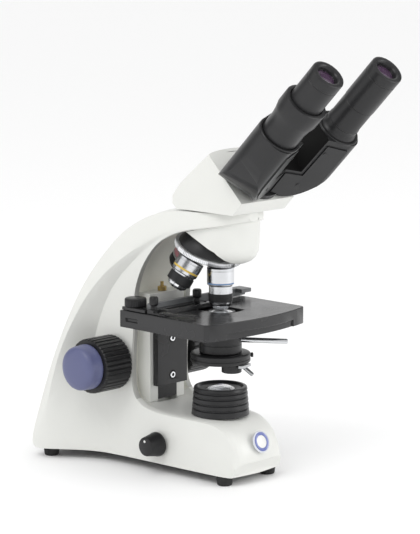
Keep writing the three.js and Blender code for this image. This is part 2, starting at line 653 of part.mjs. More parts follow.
function eyepiece(bottom) {
  const top = EYEPIECE_TOP;
  return cut(
    revolve([
      [0, bottom - 28], [BARREL_RADIUS, bottom - 28], [BARREL_RADIUS, bottom], [EYEPIECE_RADIUS, bottom],
      [EYEPIECE_RADIUS, top - 0.8], [EYEPIECE_RADIUS - 0.8, top], [0, top],
    ]),
    revolve([
      [0, top - 7], [EYE_LENS_RADIUS, top - 7], [EYE_LENS_RADIUS, top - 2], [EYE_LENS_RADIUS + 1.2, top + 1], [0, top + 1],
    ], 24),
    disc(9.6, bottom - 30, top - 10, 24),
  );
}
const EYE_LENS = [[0, EYEPIECE_TOP - 6.7], [7.8, EYEPIECE_TOP - 6.7], [7.8, EYEPIECE_TOP - 4.4], [0, EYEPIECE_TOP - 3.2]];
const eyeLens = () => revolve(EYE_LENS, 24);
for (const [side, label, group, bottom] of [
  [1, "right", rightFold, SLEEVE_TOP],
  [-1, "left", leftFold, COLLAR_SEAT],
]) {
  piece(label + "_eyepiece", onTube(eyepiece(bottom), side), black, group);
  piece(label + "_eye_lens", onTube(eyeLens(), side), glass, group);
}

// ---- Carriage: plate, slide with rack, bracket and stage ----
const PLATE_BACK = 62.3;
const PLATE_HALF_WIDTH = 17.6;
const PLATE_BOTTOM = 68.2;
const CARRIAGE_TOP = 124;
const CARRIAGE_SCREWS = [108, 76];
const carriageScrew = (z) => cylinderAlongY(3, SLIDE_FRONT + 0.4, SLIDE_FRONT + 2.5, 0, z);
piece(
  "carriage_plate",
  join(
    cut(
      block([-PLATE_HALF_WIDTH, SLIDE_FRONT, PLATE_BOTTOM], [PLATE_HALF_WIDTH, PLATE_BACK, CARRIAGE_TOP]),
      ...CARRIAGE_SCREWS.map((z) => cylinderAlongY(3.8, SLIDE_FRONT - 1, SLIDE_FRONT + 1.8, 0, z)),
    ),
    ...CARRIAGE_SCREWS.map(carriageScrew),
  ),
  black,
);

const RACK_PITCH_LINE = FOCUS_Y - PINION_RADIUS;
const RACK_PITCH = (2 * Math.PI * PINION_RADIUS) / PINION_TEETH;
const RACK_TEETH = 16;
const RACK_BOTTOM = 69.5;
const RACK_TOP = 118;
const rackOutline = [[69, RACK_BOTTOM], [RACK_PITCH_LINE - 0.75, RACK_BOTTOM]];
for (let i = 0; i < RACK_TEETH; i++) {
  const z = FOCUS_Z + (i - RACK_TEETH / 2 + 1) * RACK_PITCH;
  rackOutline.push([RACK_PITCH_LINE - 0.75, z - 0.62], [RACK_PITCH_LINE + 0.5, z - 0.25]);
  rackOutline.push([RACK_PITCH_LINE + 0.5, z + 0.25], [RACK_PITCH_LINE - 0.75, z + 0.62]);
}
rackOutline.push([RACK_PITCH_LINE - 0.75, RACK_TOP], [69, RACK_TOP]);
piece(
  "carriage_slide",
  join(
    block([-SLIDE_HALF_WIDTH, PLATE_BACK + GAP, 55.4], [SLIDE_HALF_WIDTH, CHANNEL_BACK - GAP, CARRIAGE_TOP]),
    across(rackOutline, -3.8, 3.8),
  ),
  black,
);

const pinionOutline = [];
for (let i = 0; i < PINION_TEETH; i++) {
  const middle = ((i + 0.5) / PINION_TEETH) * 2 * Math.PI;
  for (const [radius, turn] of [[5.3, -0.085], [6.5, -0.035], [6.5, 0.035], [5.3, 0.085]])
    pinionOutline.push([radius * Math.cos(middle + turn), radius * Math.sin(middle + turn)]);
}
piece(
  "coarse_pinion_shaft",
  cut(
    join(raise(pinionOutline, -5, 5), disc(SHAFT_RADIUS, -62, 62)),
    disc(3.4, -70, 70, SMALL_ROUND),
  ).rotateY(Math.PI / 2).translate(0, FOCUS_Y, FOCUS_Z),
  steel,
);

// ---- Focus knobs, drawn for the right side with their axis along +Z ----
const COARSE_INNER = 37.6;
const COARSE_OUTER = 67;
const coarseOutline = [];
const FLUTES = 28;
const COARSE_RADIUS = 23.4;
const FLUTE_RADIUS = 22.6;
for (let i = 0; i < FLUTES; i++)
  for (const [radius, turn] of [
    [COARSE_RADIUS, -0.3],
    [COARSE_RADIUS, 0.3],
    [FLUTE_RADIUS, 0.5],
  ]) {
    const angle = ((i + turn) / FLUTES) * 2 * Math.PI;
    coarseOutline.push([radius * Math.cos(angle), radius * Math.sin(angle)]);
  }
const coarseKnob = () =>
  cut(
    join(
      raise(coarseOutline, COARSE_INNER + 1.5, COARSE_OUTER - 1.5),
      disc(FLUTE_RADIUS - 0.4, COARSE_INNER, COARSE_OUTER),
    ),
    disc(SHAFT_RADIUS + 0.2, COARSE_INNER - 1, COARSE_OUTER + 1, SMALL_ROUND),
  );
const fineKnob = () =>
  cut(
    revolve([
      [0, COARSE_OUTER + GAP], [18.6, COARSE_OUTER + GAP], [19.2, COARSE_OUTER + 1.2], [19, 77.6], [17.6, 80.8],
      [13, 82.7], [0, 83.3],
    ]),
    rod([0, -10, 72.5], [0, -20, 72.5], 1.4, 10),
    disc(3.2, COARSE_OUTER - 1, 76, SMALL_ROUND),
  );
const onFocusAxis = (geometry, side) =>
  geometry.rotateY((side * Math.PI) / 2).translate(0, FOCUS_Y, FOCUS_Z);
for (const [label, side] of [["right", 1], ["left", -1]]) {
  piece("coarse_knob_" + label, onFocusAxis(coarseKnob(), side), rubber);
  piece("fine_knob_" + label, onFocusAxis(fineKnob(), side), blue);
}
piece("fine_shaft", disc(2.9, -75.5, 75.5, SMALL_ROUND).rotateY(Math.PI / 2).translate(0, FOCUS_Y, FOCUS_Z), steel);

// ---- Stage ----
const STAGE_BACK = 58.7;
const STAGE_THICKNESS = 5;
const SKIRT_BOTTOM = STAGE_TOP - STAGE_SKIRT;
function stagePlan(inset) {
  const plan = new THREE.Shape();
  const half = STAGE_HALF_WIDTH - inset;
  plan.moveTo(half, STAGE_BACK - inset);
  plan.lineTo(-half, STAGE_BACK - inset);
  plan.lineTo(-half, -38.6 + inset);
  plan.lineTo(-half + 3, -41.6 + inset);
  plan.quadraticCurveTo(0, -58 + inset, half - 3, -41.6 + inset);
  plan.lineTo(half, -38.6 + inset);
  return plan;
}
// A shallow rebate along the lower edge of the front skirt.
const frontRebate = cut(
  overlap(
    raise(stagePlan(-2), SKIRT_BOTTOM - 1, SKIRT_BOTTOM + 5.6),
    block([-40, -70, SKIRT_BOTTOM - 2], [40, 0, SKIRT_BOTTOM + 6]),
  ),
  raise(stagePlan(1.3), SKIRT_BOTTOM - 2, SKIRT_BOTTOM + 6),
);
const holePlan = new THREE.Shape();
holePlan.moveTo(13, -15);
holePlan.lineTo(13, 18);
holePlan.absarc(0, 18, 13, 0, Math.PI, false);
holePlan.lineTo(-13, -15);
holePlan.quadraticCurveTo(0, -19, 13, -15);
piece(
  "stage_plate",
  cut(
    raise(stagePlan(0), SKIRT_BOTTOM, STAGE_TOP),
    raise(stagePlan(3), SKIRT_BOTTOM - 1, STAGE_TOP - STAGE_THICKNESS),
    raise(holePlan, STAGE_TOP - 10, STAGE_TOP + 1),
    block([-18, 50, SKIRT_BOTTOM - 1], [18, 60, STAGE_TOP - STAGE_THICKNESS]),
    frontRebate,
    block([-61, 38, 131.4], [-58.4, 52, 134]),
  ),
  stageBlack,
);
const BODY_RADIUS = 15;
const RING_TOP = 119.5; // top of the condenser ring, under the bracket
piece(
  "stage_bracket",
  cut(
    join(
      block([-17, -22, CARRIAGE_TOP + GAP], [17, PLATE_BACK, STAGE_TOP - STAGE_THICKNESS - GAP]),
      disc(17, RING_TOP + GAP, CARRIAGE_TOP + 1, 28),
    ),
    disc(BODY_RADIUS + 0.4, 118, 136, 28),
  ),
  black,
);

// ---- Attachable mechanical stage: cross slide on Y, slide holder on X ----
const DECK = STAGE_TOP + GAP;
piece(
  "cross_slide_base",
  join(block([-58, 36, DECK], [-42, 58, DECK + 2.6]), block([-58, 31, DECK], [-53.4, 37, DECK + 2.6])),
  black,
);
piece(
  "cross_slide_rail",
  join(block([-52.6, 29.6, DECK + 0.6], [62, 34, DECK + 7.4]), block([50, 22.5, DECK + 4], [62, 36.5, DECK + 7.4])),
  greyPlastic,
);
const KNOB_X = -50;
const KNOB_Y = 50;
piece(
  "slide_drive_knob",
  revolve(
    [[0, DECK + 2.9], [8.9, DECK + 2.9], [9.2, DECK + 4], [9.2, 148.6], [8.2, 149.8], [0, 150.2]],
    28,
  ).translate(KNOB_X, KNOB_Y, 0),
  black,
);
const SCREW_Y = 25.4;
const HOLDER_TOP = DECK + 3.4;
piece(
  "slide_holder",
  cut(
    join(
      block([-49, 14.5, DECK], [39, 17.5, HOLDER_TOP]),
      block([-57, 22.2, DECK], [6, 29.2, HOLDER_TOP]),
      block([-49, 17, DECK], [-43, 23, HOLDER_TOP]),
      block([-5, 17, DECK], [1, 23, HOLDER_TOP]),
      block([-57, 9, DECK], [-50, 23, DECK + 1.2]),
    ),
    disc(1.7, DECK + 1.6, 150, 12).translate(-53, SCREW_Y, 0),
    disc(1.7, DECK + 1.6, 150, 12).translate(-2, SCREW_Y, 0),
  ),
  black,
);
const thumbScrew = () =>
  revolve([
    [0, DECK + 2], [1.4, DECK + 2], [1.4, HOLDER_TOP + 0.4], [2.6, HOLDER_TOP + 0.4], [2.2, 146.6], [3.7, 148],
    [3.8, 153.4], [3, 154.5], [0, 154.7],
  ], SMALL_ROUND);
piece("thumb_screw_left", thumbScrew().translate(-53, SCREW_Y, 0), black);
piece("thumb_screw_right", thumbScrew().translate(-2, SCREW_Y, 0), black);
const FINGER_PIVOT = [-53.5, 13];
piece(
  "slide_finger",
  raise(
    [
      [-2.6, 2.6], [-2.6, -4], [-0.5, -14], [3.2, -22], [5, -28.5], [8.8, -28.5], [8.4, -25], [5.6, -18], [3, -9],
      [2.6, 2.6],
    ],
    DECK + 1.5,
    DECK + 2.7,
  ).translate(...FINGER_PIVOT, 0),
  black,
);

// ---- Condenser ----
const SLEEVE_BOTTOM = 104.4;
const LEVER_DIRECTION = [0.54, -0.84];
const LEVER_Z = 115;
const radial = (direction, r, z) => [direction[0] * r, direction[1] * r, z];
piece(
  "condenser_ring",
  cut(
    join(
      ring(BODY_RADIUS + GAP, 17.8, SLEEVE_BOTTOM, RING_TOP, 28),
      rod(radial(LEVER_DIRECTION, 16.8, LEVER_Z), radial(LEVER_DIRECTION, 57, LEVER_Z), 2.2),
    ),
    disc(BODY_RADIUS + GAP, 100, 125, 28),
  ),
  black,
);
const IRIS_TOP = 104;
piece(
  "condenser_body",
  join(
    revolve([
      [0, 96], [23.6, 96], [25.1, 97], [25.1, 103], [24, IRIS_TOP], [BODY_RADIUS, IRIS_TOP], [BODY_RADIUS, 133.4],
      [12.4, 135.4], [12.4, 138.8], [10.6, 138.8], [10.6, 137.4], [0, 137.4],
    ]),
    disc(8.4, 88.6, 96.1, 24).translate(0, -12.7, 0),
  ),
  black,
);
const CONDENSER_DOME = [[0, 137.7], [10.3, 137.7], [10.3, 138.6], [6, 139.5], [0, 139.8]];
piece("condenser_lens", revolve(CONDENSER_DOME, 24), glass);
const IRIS_DIRECTION = [0.2, -0.98];
piece(
  "iris_lever",
  join(
    rod(radial(IRIS_DIRECTION, 22.6, 93.6), radial(IRIS_DIRECTION, 31.5, 88), 1.7),
    raise([[-3, -23.4], [-1.5, -26.5], [12, -23.6], [11, -20.6]], 93.4, 95.6),
  ),
  steel,
);

export default microscope;
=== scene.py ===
import json
import math

import bmesh
import bpy
from mathutils import Matrix, Vector


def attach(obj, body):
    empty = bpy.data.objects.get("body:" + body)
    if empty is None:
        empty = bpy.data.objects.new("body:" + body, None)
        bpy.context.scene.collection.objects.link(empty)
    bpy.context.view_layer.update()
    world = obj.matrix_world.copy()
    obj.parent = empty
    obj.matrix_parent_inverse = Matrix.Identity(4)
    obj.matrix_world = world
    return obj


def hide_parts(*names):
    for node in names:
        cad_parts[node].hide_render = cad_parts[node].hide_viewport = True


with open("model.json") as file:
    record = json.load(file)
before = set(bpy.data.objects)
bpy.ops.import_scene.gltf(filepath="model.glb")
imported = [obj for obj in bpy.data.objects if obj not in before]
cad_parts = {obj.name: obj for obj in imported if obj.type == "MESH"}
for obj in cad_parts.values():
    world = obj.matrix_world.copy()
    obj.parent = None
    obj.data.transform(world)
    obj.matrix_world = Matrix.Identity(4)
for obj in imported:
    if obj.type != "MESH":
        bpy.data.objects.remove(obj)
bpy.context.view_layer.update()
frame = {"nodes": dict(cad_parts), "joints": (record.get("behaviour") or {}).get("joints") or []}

scene = bpy.context.scene
node = frame["nodes"]
joint = {j["name"]: j for j in frame["joints"]}

# ---- Where things are: sizes below are in millimetres from the optical axis and the table ----
# The optical axis is where the head's swivel joint is.
MM = 0.001
optical_y = joint["head_swivel"]["pos_m"][1]
STAND = Matrix.Translation((0, optical_y, 0)) @ Matrix.Scale(MM, 4)


# ---- Camera, floor and light ----
# A long lens a little above the stage, a white sweep to stand on, and a bright tent with dark
# flags in it, so that polished metal shows edges.
CAMERA_PLACE = (-1.2747, -1.2123 + optical_y, 0.4711)
CAMERA_TURN = (math.radians(90 - 9.53), 0, math.radians(-46.15))
camera = bpy.data.objects.new("camera", bpy.data.cameras.new("camera"))
camera.location = CAMERA_PLACE
camera.rotation_euler = CAMERA_TURN
camera.data.lens = 144.86
camera.data.sensor_width = 36
camera.data.clip_end = 50
scene.collection.objects.link(camera)
scene.camera = camera
scene.view_settings.view_transform = "Standard"


def plain_material(name, colour, roughness):
    material = bpy.data.materials.new(name)
    material.use_nodes = True
    shader = material.node_tree.nodes["Principled BSDF"]
    shader.inputs["Base Color"].default_value = (*colour, 1)
    shader.inputs["Roughness"].default_value = roughness
    return material


floor_mesh = bpy.data.meshes.new("floor")
bm = bmesh.new()
bmesh.ops.create_grid(bm, x_segments=1, y_segments=1, size=20)
bm.to_mesh(floor_mesh)
bm.free()
floor_mesh.materials.append(plain_material("white_sweep", (0.94, 0.94, 0.94), 0.9))
floor = bpy.data.objects.new("floor", floor_mesh)
scene.collection.objects.link(floor)

world = bpy.data.worlds.new("light_tent")
scene.world = world
world.use_nodes = True
links = world.node_tree.links
sky = world.node_tree.nodes
background = sky["Background"]
direction = sky.new("ShaderNodeTexCoord")
turn = sky.new("ShaderNodeMapping")
turn.inputs["Rotation"].default_value = (0, 0, math.radians(136.2))
flags = sky.new("ShaderNodeTexGradient")
flags.gradient_type = "RADIAL"
shades = sky.new("ShaderNodeValToRGB")
# Going round the tent from behind the microscope, past the camera at 0.5, and back.
FLAGS = [(0.0, 0.95), (0.12, 0.95), (0.15, 0.12), (0.20, 0.12), (0.24, 1.0), (0.36, 1.0), (0.40, 0.22),
         (0.46, 0.22), (0.50, 0.7), (0.58, 0.9), (0.61, 0.25), (0.66, 0.25), (0.70, 1.0), (0.80, 1.0),
         (0.84, 0.12), (0.89, 0.12), (0.92, 0.95)]
for place, level in FLAGS:
    stop = shades.color_ramp.elements.new(place) if place else shades.color_ramp.elements[0]
    stop.color = (level, level, level, 1)
shades.color_ramp.elements[-1].color = (0.95, 0.95, 0.95, 1)
path = sky.new("ShaderNodeLightPath")
glossy_only = sky.new("ShaderNodeMix")
glossy_only.data_type = "RGBA"
glossy_only.inputs["A"].default_value = (1, 1, 1, 1)
links.new(direction.outputs["Generated"], turn.inputs["Vector"])
links.new(turn.outputs["Vector"], flags.inputs["Vector"])
links.new(flags.outputs["Fac"], shades.inputs["Fac"])
links.new(path.outputs["Is Glossy Ray"], glossy_only.inputs["Factor"])
links.new(shades.outputs["Color"], glossy_only.inputs["B"])
links.new(glossy_only.outputs["Result"], background.inputs["Color"])
background.inputs["Strength"].default_value = 1.02


def soft_box(name, place, size, power):
    light = bpy.data.objects.new(name, bpy.data.lights.new(name, "AREA"))
    light.data.energy = power
    light.data.size = size
    light.location = place
    aim = Vector((0, 0, 0.16)) - Vector(place)
    light.rotation_euler = aim.to_track_quat("-Z", "Y").to_euler()
    scene.collection.objects.link(light)


soft_box("key_box", (-1.3, -0.2, 1.5), 0.9, 9)
soft_box("front_box", (0.9, -1.5, 0.7), 0.8, 8)


# ---- Finishes: what every paint, plastic and metal here shares ----
# A faint mottle in the colour, an uneven gloss and a fine grain in the surface.
def surface_group():
    """A node group that turns a place on the piece into a mottle, a gloss and a grain."""
    group = bpy.data.node_groups.new("surface_grain", "ShaderNodeTree")
    inputs = [("Mottle Scale", "NodeSocketFloat", 30), ("Grain Scale", "NodeSocketFloat", 1500),
              ("Dark", "NodeSocketColor", (0, 0, 0, 1)), ("Light", "NodeSocketColor", (1, 1, 1, 1)),
              ("Gloss Low", "NodeSocketFloat", 0.3), ("Gloss High", "NodeSocketFloat", 0.5)]
    for name, kind, value in inputs:
        socket = group.interface.new_socket(name, in_out="INPUT", socket_type=kind)
        socket.default_value = value
    for name, kind in [("Color", "NodeSocketColor"), ("Roughness", "NodeSocketFloat"),
                       ("Height", "NodeSocketFloat")]:
        group.interface.new_socket(name, in_out="OUTPUT", socket_type=kind)
    make, link = group.nodes.new, group.links.new
    entry, exit_ = make("NodeGroupInput"), make("NodeGroupOutput")
    place = make("ShaderNodeTexCoord")
    mottle, grain = make("ShaderNodeTexNoise"), make("ShaderNodeTexNoise")
    mottle.inputs["Detail"].default_value = 4
    grain.inputs["Detail"].default_value = 2
    colour, gloss = make("ShaderNodeMix"), make("ShaderNodeMapRange")
    colour.data_type = "RGBA"
    link(place.outputs["Object"], mottle.inputs["Vector"])
    link(place.outputs["Object"], grain.inputs["Vector"])
    link(entry.outputs["Mottle Scale"], mottle.inputs["Scale"])
    link(entry.outputs["Grain Scale"], grain.inputs["Scale"])
    link(mottle.outputs["Fac"], colour.inputs["Factor"])
    link(entry.outputs["Dark"], colour.inputs["A"])
    link(entry.outputs["Light"], colour.inputs["B"])
    link(mottle.outputs["Fac"], gloss.inputs["Value"])
    gloss.inputs["From Min"].default_value = 0.3
    gloss.inputs["From Max"].default_value = 0.7
    link(entry.outputs["Gloss Low"], gloss.inputs["To Min"])
    link(entry.outputs["Gloss High"], gloss.inputs["To Max"])
    link(colour.outputs["Result"], exit_.inputs["Color"])
    link(gloss.outputs["Result"], exit_.inputs["Roughness"])
    link(grain.outputs["Fac"], exit_.inputs["Height"])
    return group


grain_group = surface_group()


def finish(name, colour, spread, gloss, grain=1500, depth=0.1, metallic=0.0, mottle=30, coat=0.0,
           shine=0.5):
    """A material whose colour varies by spread, and whose roughness runs between the two of gloss."""
    material = bpy.data.materials.new(name)
    material.use_nodes = True
    nodes, link = material.node_tree.nodes, material.node_tree.links.new
    shader = nodes["Principled BSDF"]
    shader.inputs["Metallic"].default_value = metallic
    shader.inputs["Coat Weight"].default_value = coat
    shader.inputs["Specular IOR Level"].default_value = shine
    surface = nodes.new("ShaderNodeGroup")
    surface.node_tree = grain_group
    surface.inputs["Mottle Scale"].default_value = mottle
    surface.inputs["Grain Scale"].default_value = grain
    surface.inputs["Dark"].default_value = (*[c * (1 - spread) for c in colour], 1)
    surface.inputs["Light"].default_value = (*[min(1, c * (1 + spread)) for c in colour], 1)
    surface.inputs["Gloss Low"].default_value = gloss[0]
    surface.inputs["Gloss High"].default_value = gloss[1]
    bump = nodes.new("ShaderNodeBump")
    bump.inputs["Strength"].default_value = depth
    bump.inputs["Distance"].default_value = 0.0002
    link(surface.outputs["Color"], shader.inputs["Base Color"])
    link(surface.outputs["Roughness"], shader.inputs["Roughness"])
    link(surface.outputs["Height"], bump.inputs["Height"])
    link(bump.outputs["Normal"], shader.inputs["Normal"])
    return material


# ---- Stand casting: the curved base and arm in one ----
# Cast metal with white enamel. Its arm is scooped along the front between two rims, and its sides
# break along a crease into a facet that widens down to the rear feet.
white_enamel = finish("white_enamel", (0.70, 0.705, 0.675), 0.02, (0.32, 0.44), 900, 0.12)
# Painted light: a lighter, creamier white that brightens the arm's hollow as if more light fell into it.
painted_light_cream = finish("painted_light_cream", (0.78, 0.775, 0.71), 0.02, (0.4, 0.5), 900, 0.1)
shaded_enamel = finish("shaded_enamel", (0.42, 0.42, 0.40), 0.03, (0.4, 0.5), 900, 0.1)
DECK = 51.4
ARM_TOP = 225
DOVETAIL_BORE = 20.4
LOCK_SCREW_Z = 219.5
RIM = 5.5
PLATE_RECESS = 2.2
# Each station goes round half of the body: inner edge [y, z], half width, scoop, bow of the middle,
# then three corners [x, y, z] down the side, and the back or underside [y, z]. The underside is at 8.
STATIONS = [
    [(-44.5, 19), 25, 0, 3, (28.5, -43, 15), (29, -42, 12), (29.5, -40.5, 8), (-45, 8)],
    [(-44, 27), 25, 0, 3, (30, -40.5, 20), (30.5, -39.5, 13), (31, -38, 8), (-40, 8)],
    [(-40.5, 35.5), 25.5, 0, 2.6, (30.5, -36, 25), (31.5, -35, 15), (32, -34, 8), (-34, 8)],
    [(-33.6, 43.8), 26.5, 0, 2, (31, -29, 31), (32.2, -29, 17), (33, -29, 8), (-29, 8)],
    [(-21, 50.6), 28, 0, 1, (31.8, -19, 34), (33, -19, 18), (34, -19, 8), (-19, 8)],
    [(-6, DECK), 30, 0, 0, (33, -4, 34), (34.3, -4, 18), (35, -4, 8), (-4, 8)],
    [(24, DECK), 32.5, 0, 0, (35.5, 30, 33), (36.5, 32, 18), (37.3, 36, 8), (36, 8)],
    [(45, 52), 34, 0, 0, (37, 62, 32), (38.3, 68, 18), (39.8, 75, 8), (75, 8)],
    [(57, 54.5), 34, 3, 0, (38, 86, 34), (40, 95, 18), (42.5, 105, 8), (105, 8)],
    [(65, 59), 34, 9, 0, (38.5, 103, 40), (46, 112, 22), (57, 126, 8), (140, 8)],
    [(69, 67), 34, 12, 0, (38.5, 113, 50), (59, 131, 27), (73, 146, 8), (165, 8)],
    [(70.2, 77), 34, 12, 0, (38, 118, 66), (70, 144.5, 34), (76, 158, 8), (177, 8)],
    [(70, 92), 34, 12, 0, (37, 118.5, 86), (65.5, 141, 62), (68, 151.5, 45), (171, 44)],
    [(68, 112), 34, 12, 0, (36, 115, 108), (60, 135.6, 93.5), (60, 144.5, 84), (163, 82)],
    [(67, 132), 34, 12, 0, (35.3, 106, 132), (53.5, 123, 124), (53.5, 131.5, 122), (149, 122)],
    [(66.9, 149), 34, 12, 0, (35, 95, 151), (48, 108.5, 149), (47.5, 117, 154), (132, 156)],
    [(61.7, 166), 34, 12, 0, (34.8, 79, 168.5), (43, 90, 169.5), (42, 101, 177.5), (112, 183)],
    [(50.7, 183.6), 34, 12, 0, (34.5, 59, 185), (39, 64, 187.5), (38, 80, 201), (87, 208)],
    [(35.6, 199), 33.5, 12, 0, (33.8, 38, 200.5), (35, 40, 202.5), (34, 57, 215), (60, 221)],
    [(12, 207.5), 32, 6, 0, (32.5, 13, 209), (32.5, 14, 213), (31.5, 31, 224.4), (30, ARM_TOP)],
    [(-9, 210.7), 30.5, 0, 0, (31.3, -9, 212.5), (31.3, -8, 217), (30.6, -2, ARM_TOP), (-2, ARM_TOP)],
    [(-24, 213.8), 26, 0, 0, (26.8, -24, 215), (27, -24, 219), (26.4, -23, ARM_TOP), (-23, ARM_TOP)],
    [(-33.5, 216.3), 16, 0, 0, (16.6, -33.5, 217.5), (17, -33.5, 220.5), (16.4, -33, ARM_TOP),
     (-33, ARM_TOP)],
    [(-37.5, 217.6), 5, 0, 0, (5.5, -37.7, 218.5), (5.7, -37.8, 221), (5.2, -37.4, ARM_TOP),
     (-37.4, ARM_TOP)],
]
FIRST_RECESSED = 3
LAST_RECESSED = 10


def half_ring(number):
    """Half of one station's ring, from the middle of the inner edge to the middle of the back."""
    (y, z), half, scoop, bow, panel, facet, edge, back = STATIONS[number]
    start = Vector((0, y, z))
    inward = (Vector((0, *back)) - start).normalized()

    def at(x, depth):
        return Vector((x, y - bow * (1 - (x / half) ** 2), z)) + inward * depth

    edge, back = Vector(edge), Vector((0, *back))
    if FIRST_RECESSED <= number <= LAST_RECESSED:
        lip = edge + Vector((-4.4, 0, 0))
        inside = lip + Vector((-0.4, 0, PLATE_RECESS))
        back = back + Vector((0, 0, PLATE_RECESS))
    else:
        lip = edge.lerp(back, 0.12)
        inside = edge.lerp(back, 0.2)
    front = [at(0, scoop), at((half - RIM) * 0.86, scoop * 0.92), at(half - RIM, scoop * 0.15),
             at(half, 1.2)]
    return front + [Vector(panel), Vector(facet), edge, lip, inside, back]


bm = bmesh.new()
crease = bm.edges.layers.float.new("crease_edge")
rings = []
for number in range(len(STATIONS)):
    half = half_ring(number)
    other = [Vector((-p.x, p.y, p.z)) for p in half[1:-1]]
    points = [bm.verts.new(p) for p in half + other[::-1]]
    rings.append(points)
loops = []
for points in rings:
    loops.append([bm.edges.new(pair) for pair in zip(points, points[1:] + points[:1])])
for before, after in zip(loops, loops[1:]):
    bmesh.ops.bridge_loops(bm, edges=before + after)
END_SHARPNESS = 0.75
for end in (0, -1):
    bmesh.ops.contextual_create(bm, geom=rings[end])
    for edge in loops[end]:
        edge[crease] = END_SHARPNESS
# How sharp each lengthwise line stays when the casting is smoothed: by corner, base and arm.
LINE_SHARPNESS = {2: (0.3, 0.8), 3: (0.45, 0.85), 4: (0.25, 0.9), 5: (0.2, 0.75), 6: (0.9, 0.75),
                  7: (0.9, 0.0), 8: (0.9, 0.0)}
FIRST_ARM_STATION = 7
count = len(rings[0])
for number, (here, there) in enumerate(zip(rings, rings[1:])):
    for line, sharp in LINE_SHARPNESS.items():
        for place in {line, count - line}:
            edge = bm.edges.get((here[place], there[place]))
            if edge:
                edge[crease] = sharp[number >= FIRST_ARM_STATION]
# The hollow of the arm has a lighter, creamier white than the rest of the casting. It is painted light for
# the light that falls into the hollow. The cove along its rim has a grey that stands in for the shade that
# lies in it.
FIRST_HOLLOW_STATION, LAST_HOLLOW_STATION = 9, 18
for number in range(FIRST_HOLLOW_STATION, LAST_HOLLOW_STATION):
    corners = [set(rings[number]), set(rings[number + 1])]
    for face in {f for v in rings[number] for f in v.link_faces}:
        if not all(any(v in ring for v in face.verts) for ring in corners):
            continue
        places = {(rings[number] + rings[number + 1]).index(v) % count for v in face.verts}
        inwards = {min(place, count - place) for place in places}
        if inwards <= {0, 1, 2}:
            face.material_index = 2
        elif inwards == {2, 3}:
            face.material_index = 1
bmesh.ops.recalc_face_normals(bm, faces=bm.faces)


def to_piece(name, bm, place, body, materials, replaces=(), bevel=0.3, smooth=35, subsurf=0):
    """Puts the mesh in place and makes it a piece that rides on a body and stands for CAD nodes."""
    bmesh.ops.transform(bm, matrix=place, verts=bm.verts)
    if place.determinant() < 0:
        bmesh.ops.reverse_faces(bm, faces=bm.faces)
    mesh = bpy.data.meshes.new(name)
    bm.to_mesh(mesh)
    bm.free()
    for material in materials:
        mesh.materials.append(material)
    mesh.shade_smooth()
    mesh.set_sharp_from_angle(angle=math.radians(smooth))
    piece = bpy.data.objects.new(name, mesh)
    scene.collection.objects.link(piece)
    if subsurf:
        rounder = piece.modifiers.new("rounder", "SUBSURF")
        rounder.levels = rounder.render_levels = subsurf
    if bevel:
        edges = piece.modifiers.new("edges", "BEVEL")
        edges.width = bevel * MM
        edges.segments = 2
        edges.limit_method = "ANGLE"
        edges.angle_limit = math.radians(smooth)
        edges.harden_normals = True
    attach(piece, body)
    if replaces:
        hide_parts(*replaces)
    return piece


def turned(profile, segments=96, closed=False):
    """A profile of (radius, height) turned round Z into a bmesh, with its poles closed."""
    bm = bmesh.new()
    points = [bm.verts.new((r, 0, z)) for r, z in profile]
    edges = [bm.edges.new(pair) for pair in zip(points, points[1:])]
    if closed:
        edges.append(bm.edges.new((points[-1], points[0])))
    bmesh.ops.spin(bm, geom=points + edges, cent=(0, 0, 0), axis=(0, 0, 1), angle=math.tau,
                   steps=segments, use_merge=True)
    bmesh.ops.remove_doubles(bm, verts=bm.verts, dist=1e-4)
    bmesh.ops.recalc_face_normals(bm, faces=bm.faces)
    return bm


def moved(bm, matrix):
    bmesh.ops.transform(bm, matrix=matrix, verts=bm.verts)
    return bm


def cylinder_along_x(radius, x0, x1, y, z):
    bm = turned([(0, x0), (radius, x0), (radius, x1), (0, x1)], 48)
    return moved(bm, Matrix.Translation((0, y, z)) @ Matrix.Rotation(math.radians(90), 4, "Y"))


def slab(low, high):
    """A box between two corners, from one created cube."""
    bm = bmesh.new()
    low, high = Vector(low), Vector(high)
    size = high - low
    place = Matrix.Translation((low + high) / 2) @ Matrix.Diagonal((*size, 1))
    bmesh.ops.create_cube(bm, size=1, matrix=place)
    return bm


casting = to_piece("stand_shell", bm, STAND, "stand",
                   [white_enamel, shaded_enamel, painted_light_cream], ["stand_casting"], bevel=0, smooth=180,
                   subsurf=2)
FOCUS_Y = 90
FOCUS_Z = 88.3
BRIGHTNESS_Y = 36.2
BRIGHTNESS_Z = 25.5
REAR_PANEL_Z = 27
INLET_X = -22
SWITCH_X = 22
cutters = [
    turned([(0, 205), (DOVETAIL_BORE, 205), (DOVETAIL_BORE, 230), (0, 230)]),
    turned([(0, 42), (12, 42), (12, 60), (0, 60)]),
    cylinder_along_x(6.2, -60, 60, FOCUS_Y, FOCUS_Z),
    cylinder_along_x(3.4, -60, -24, BRIGHTNESS_Y, BRIGHTNESS_Z),
    cylinder_along_x(2.2, 15, 40, 0, LOCK_SCREW_Z),
    slab((-7, 70, 60), (7, 98, 134)),
    slab((-12, 61.6, 47), (12, 72, 62)),
    slab((SWITCH_X - 9.5, 160, REAR_PANEL_Z - 6.5), (SWITCH_X + 9.5, 190, REAR_PANEL_Z + 6.5)),
    moved(turned([(0, -190), (6, -190), (6, -155), (0, -155)], 48),
          Matrix.Translation((INLET_X, 0, REAR_PANEL_Z)) @ Matrix.Rotation(math.radians(90), 4, "X")),
]


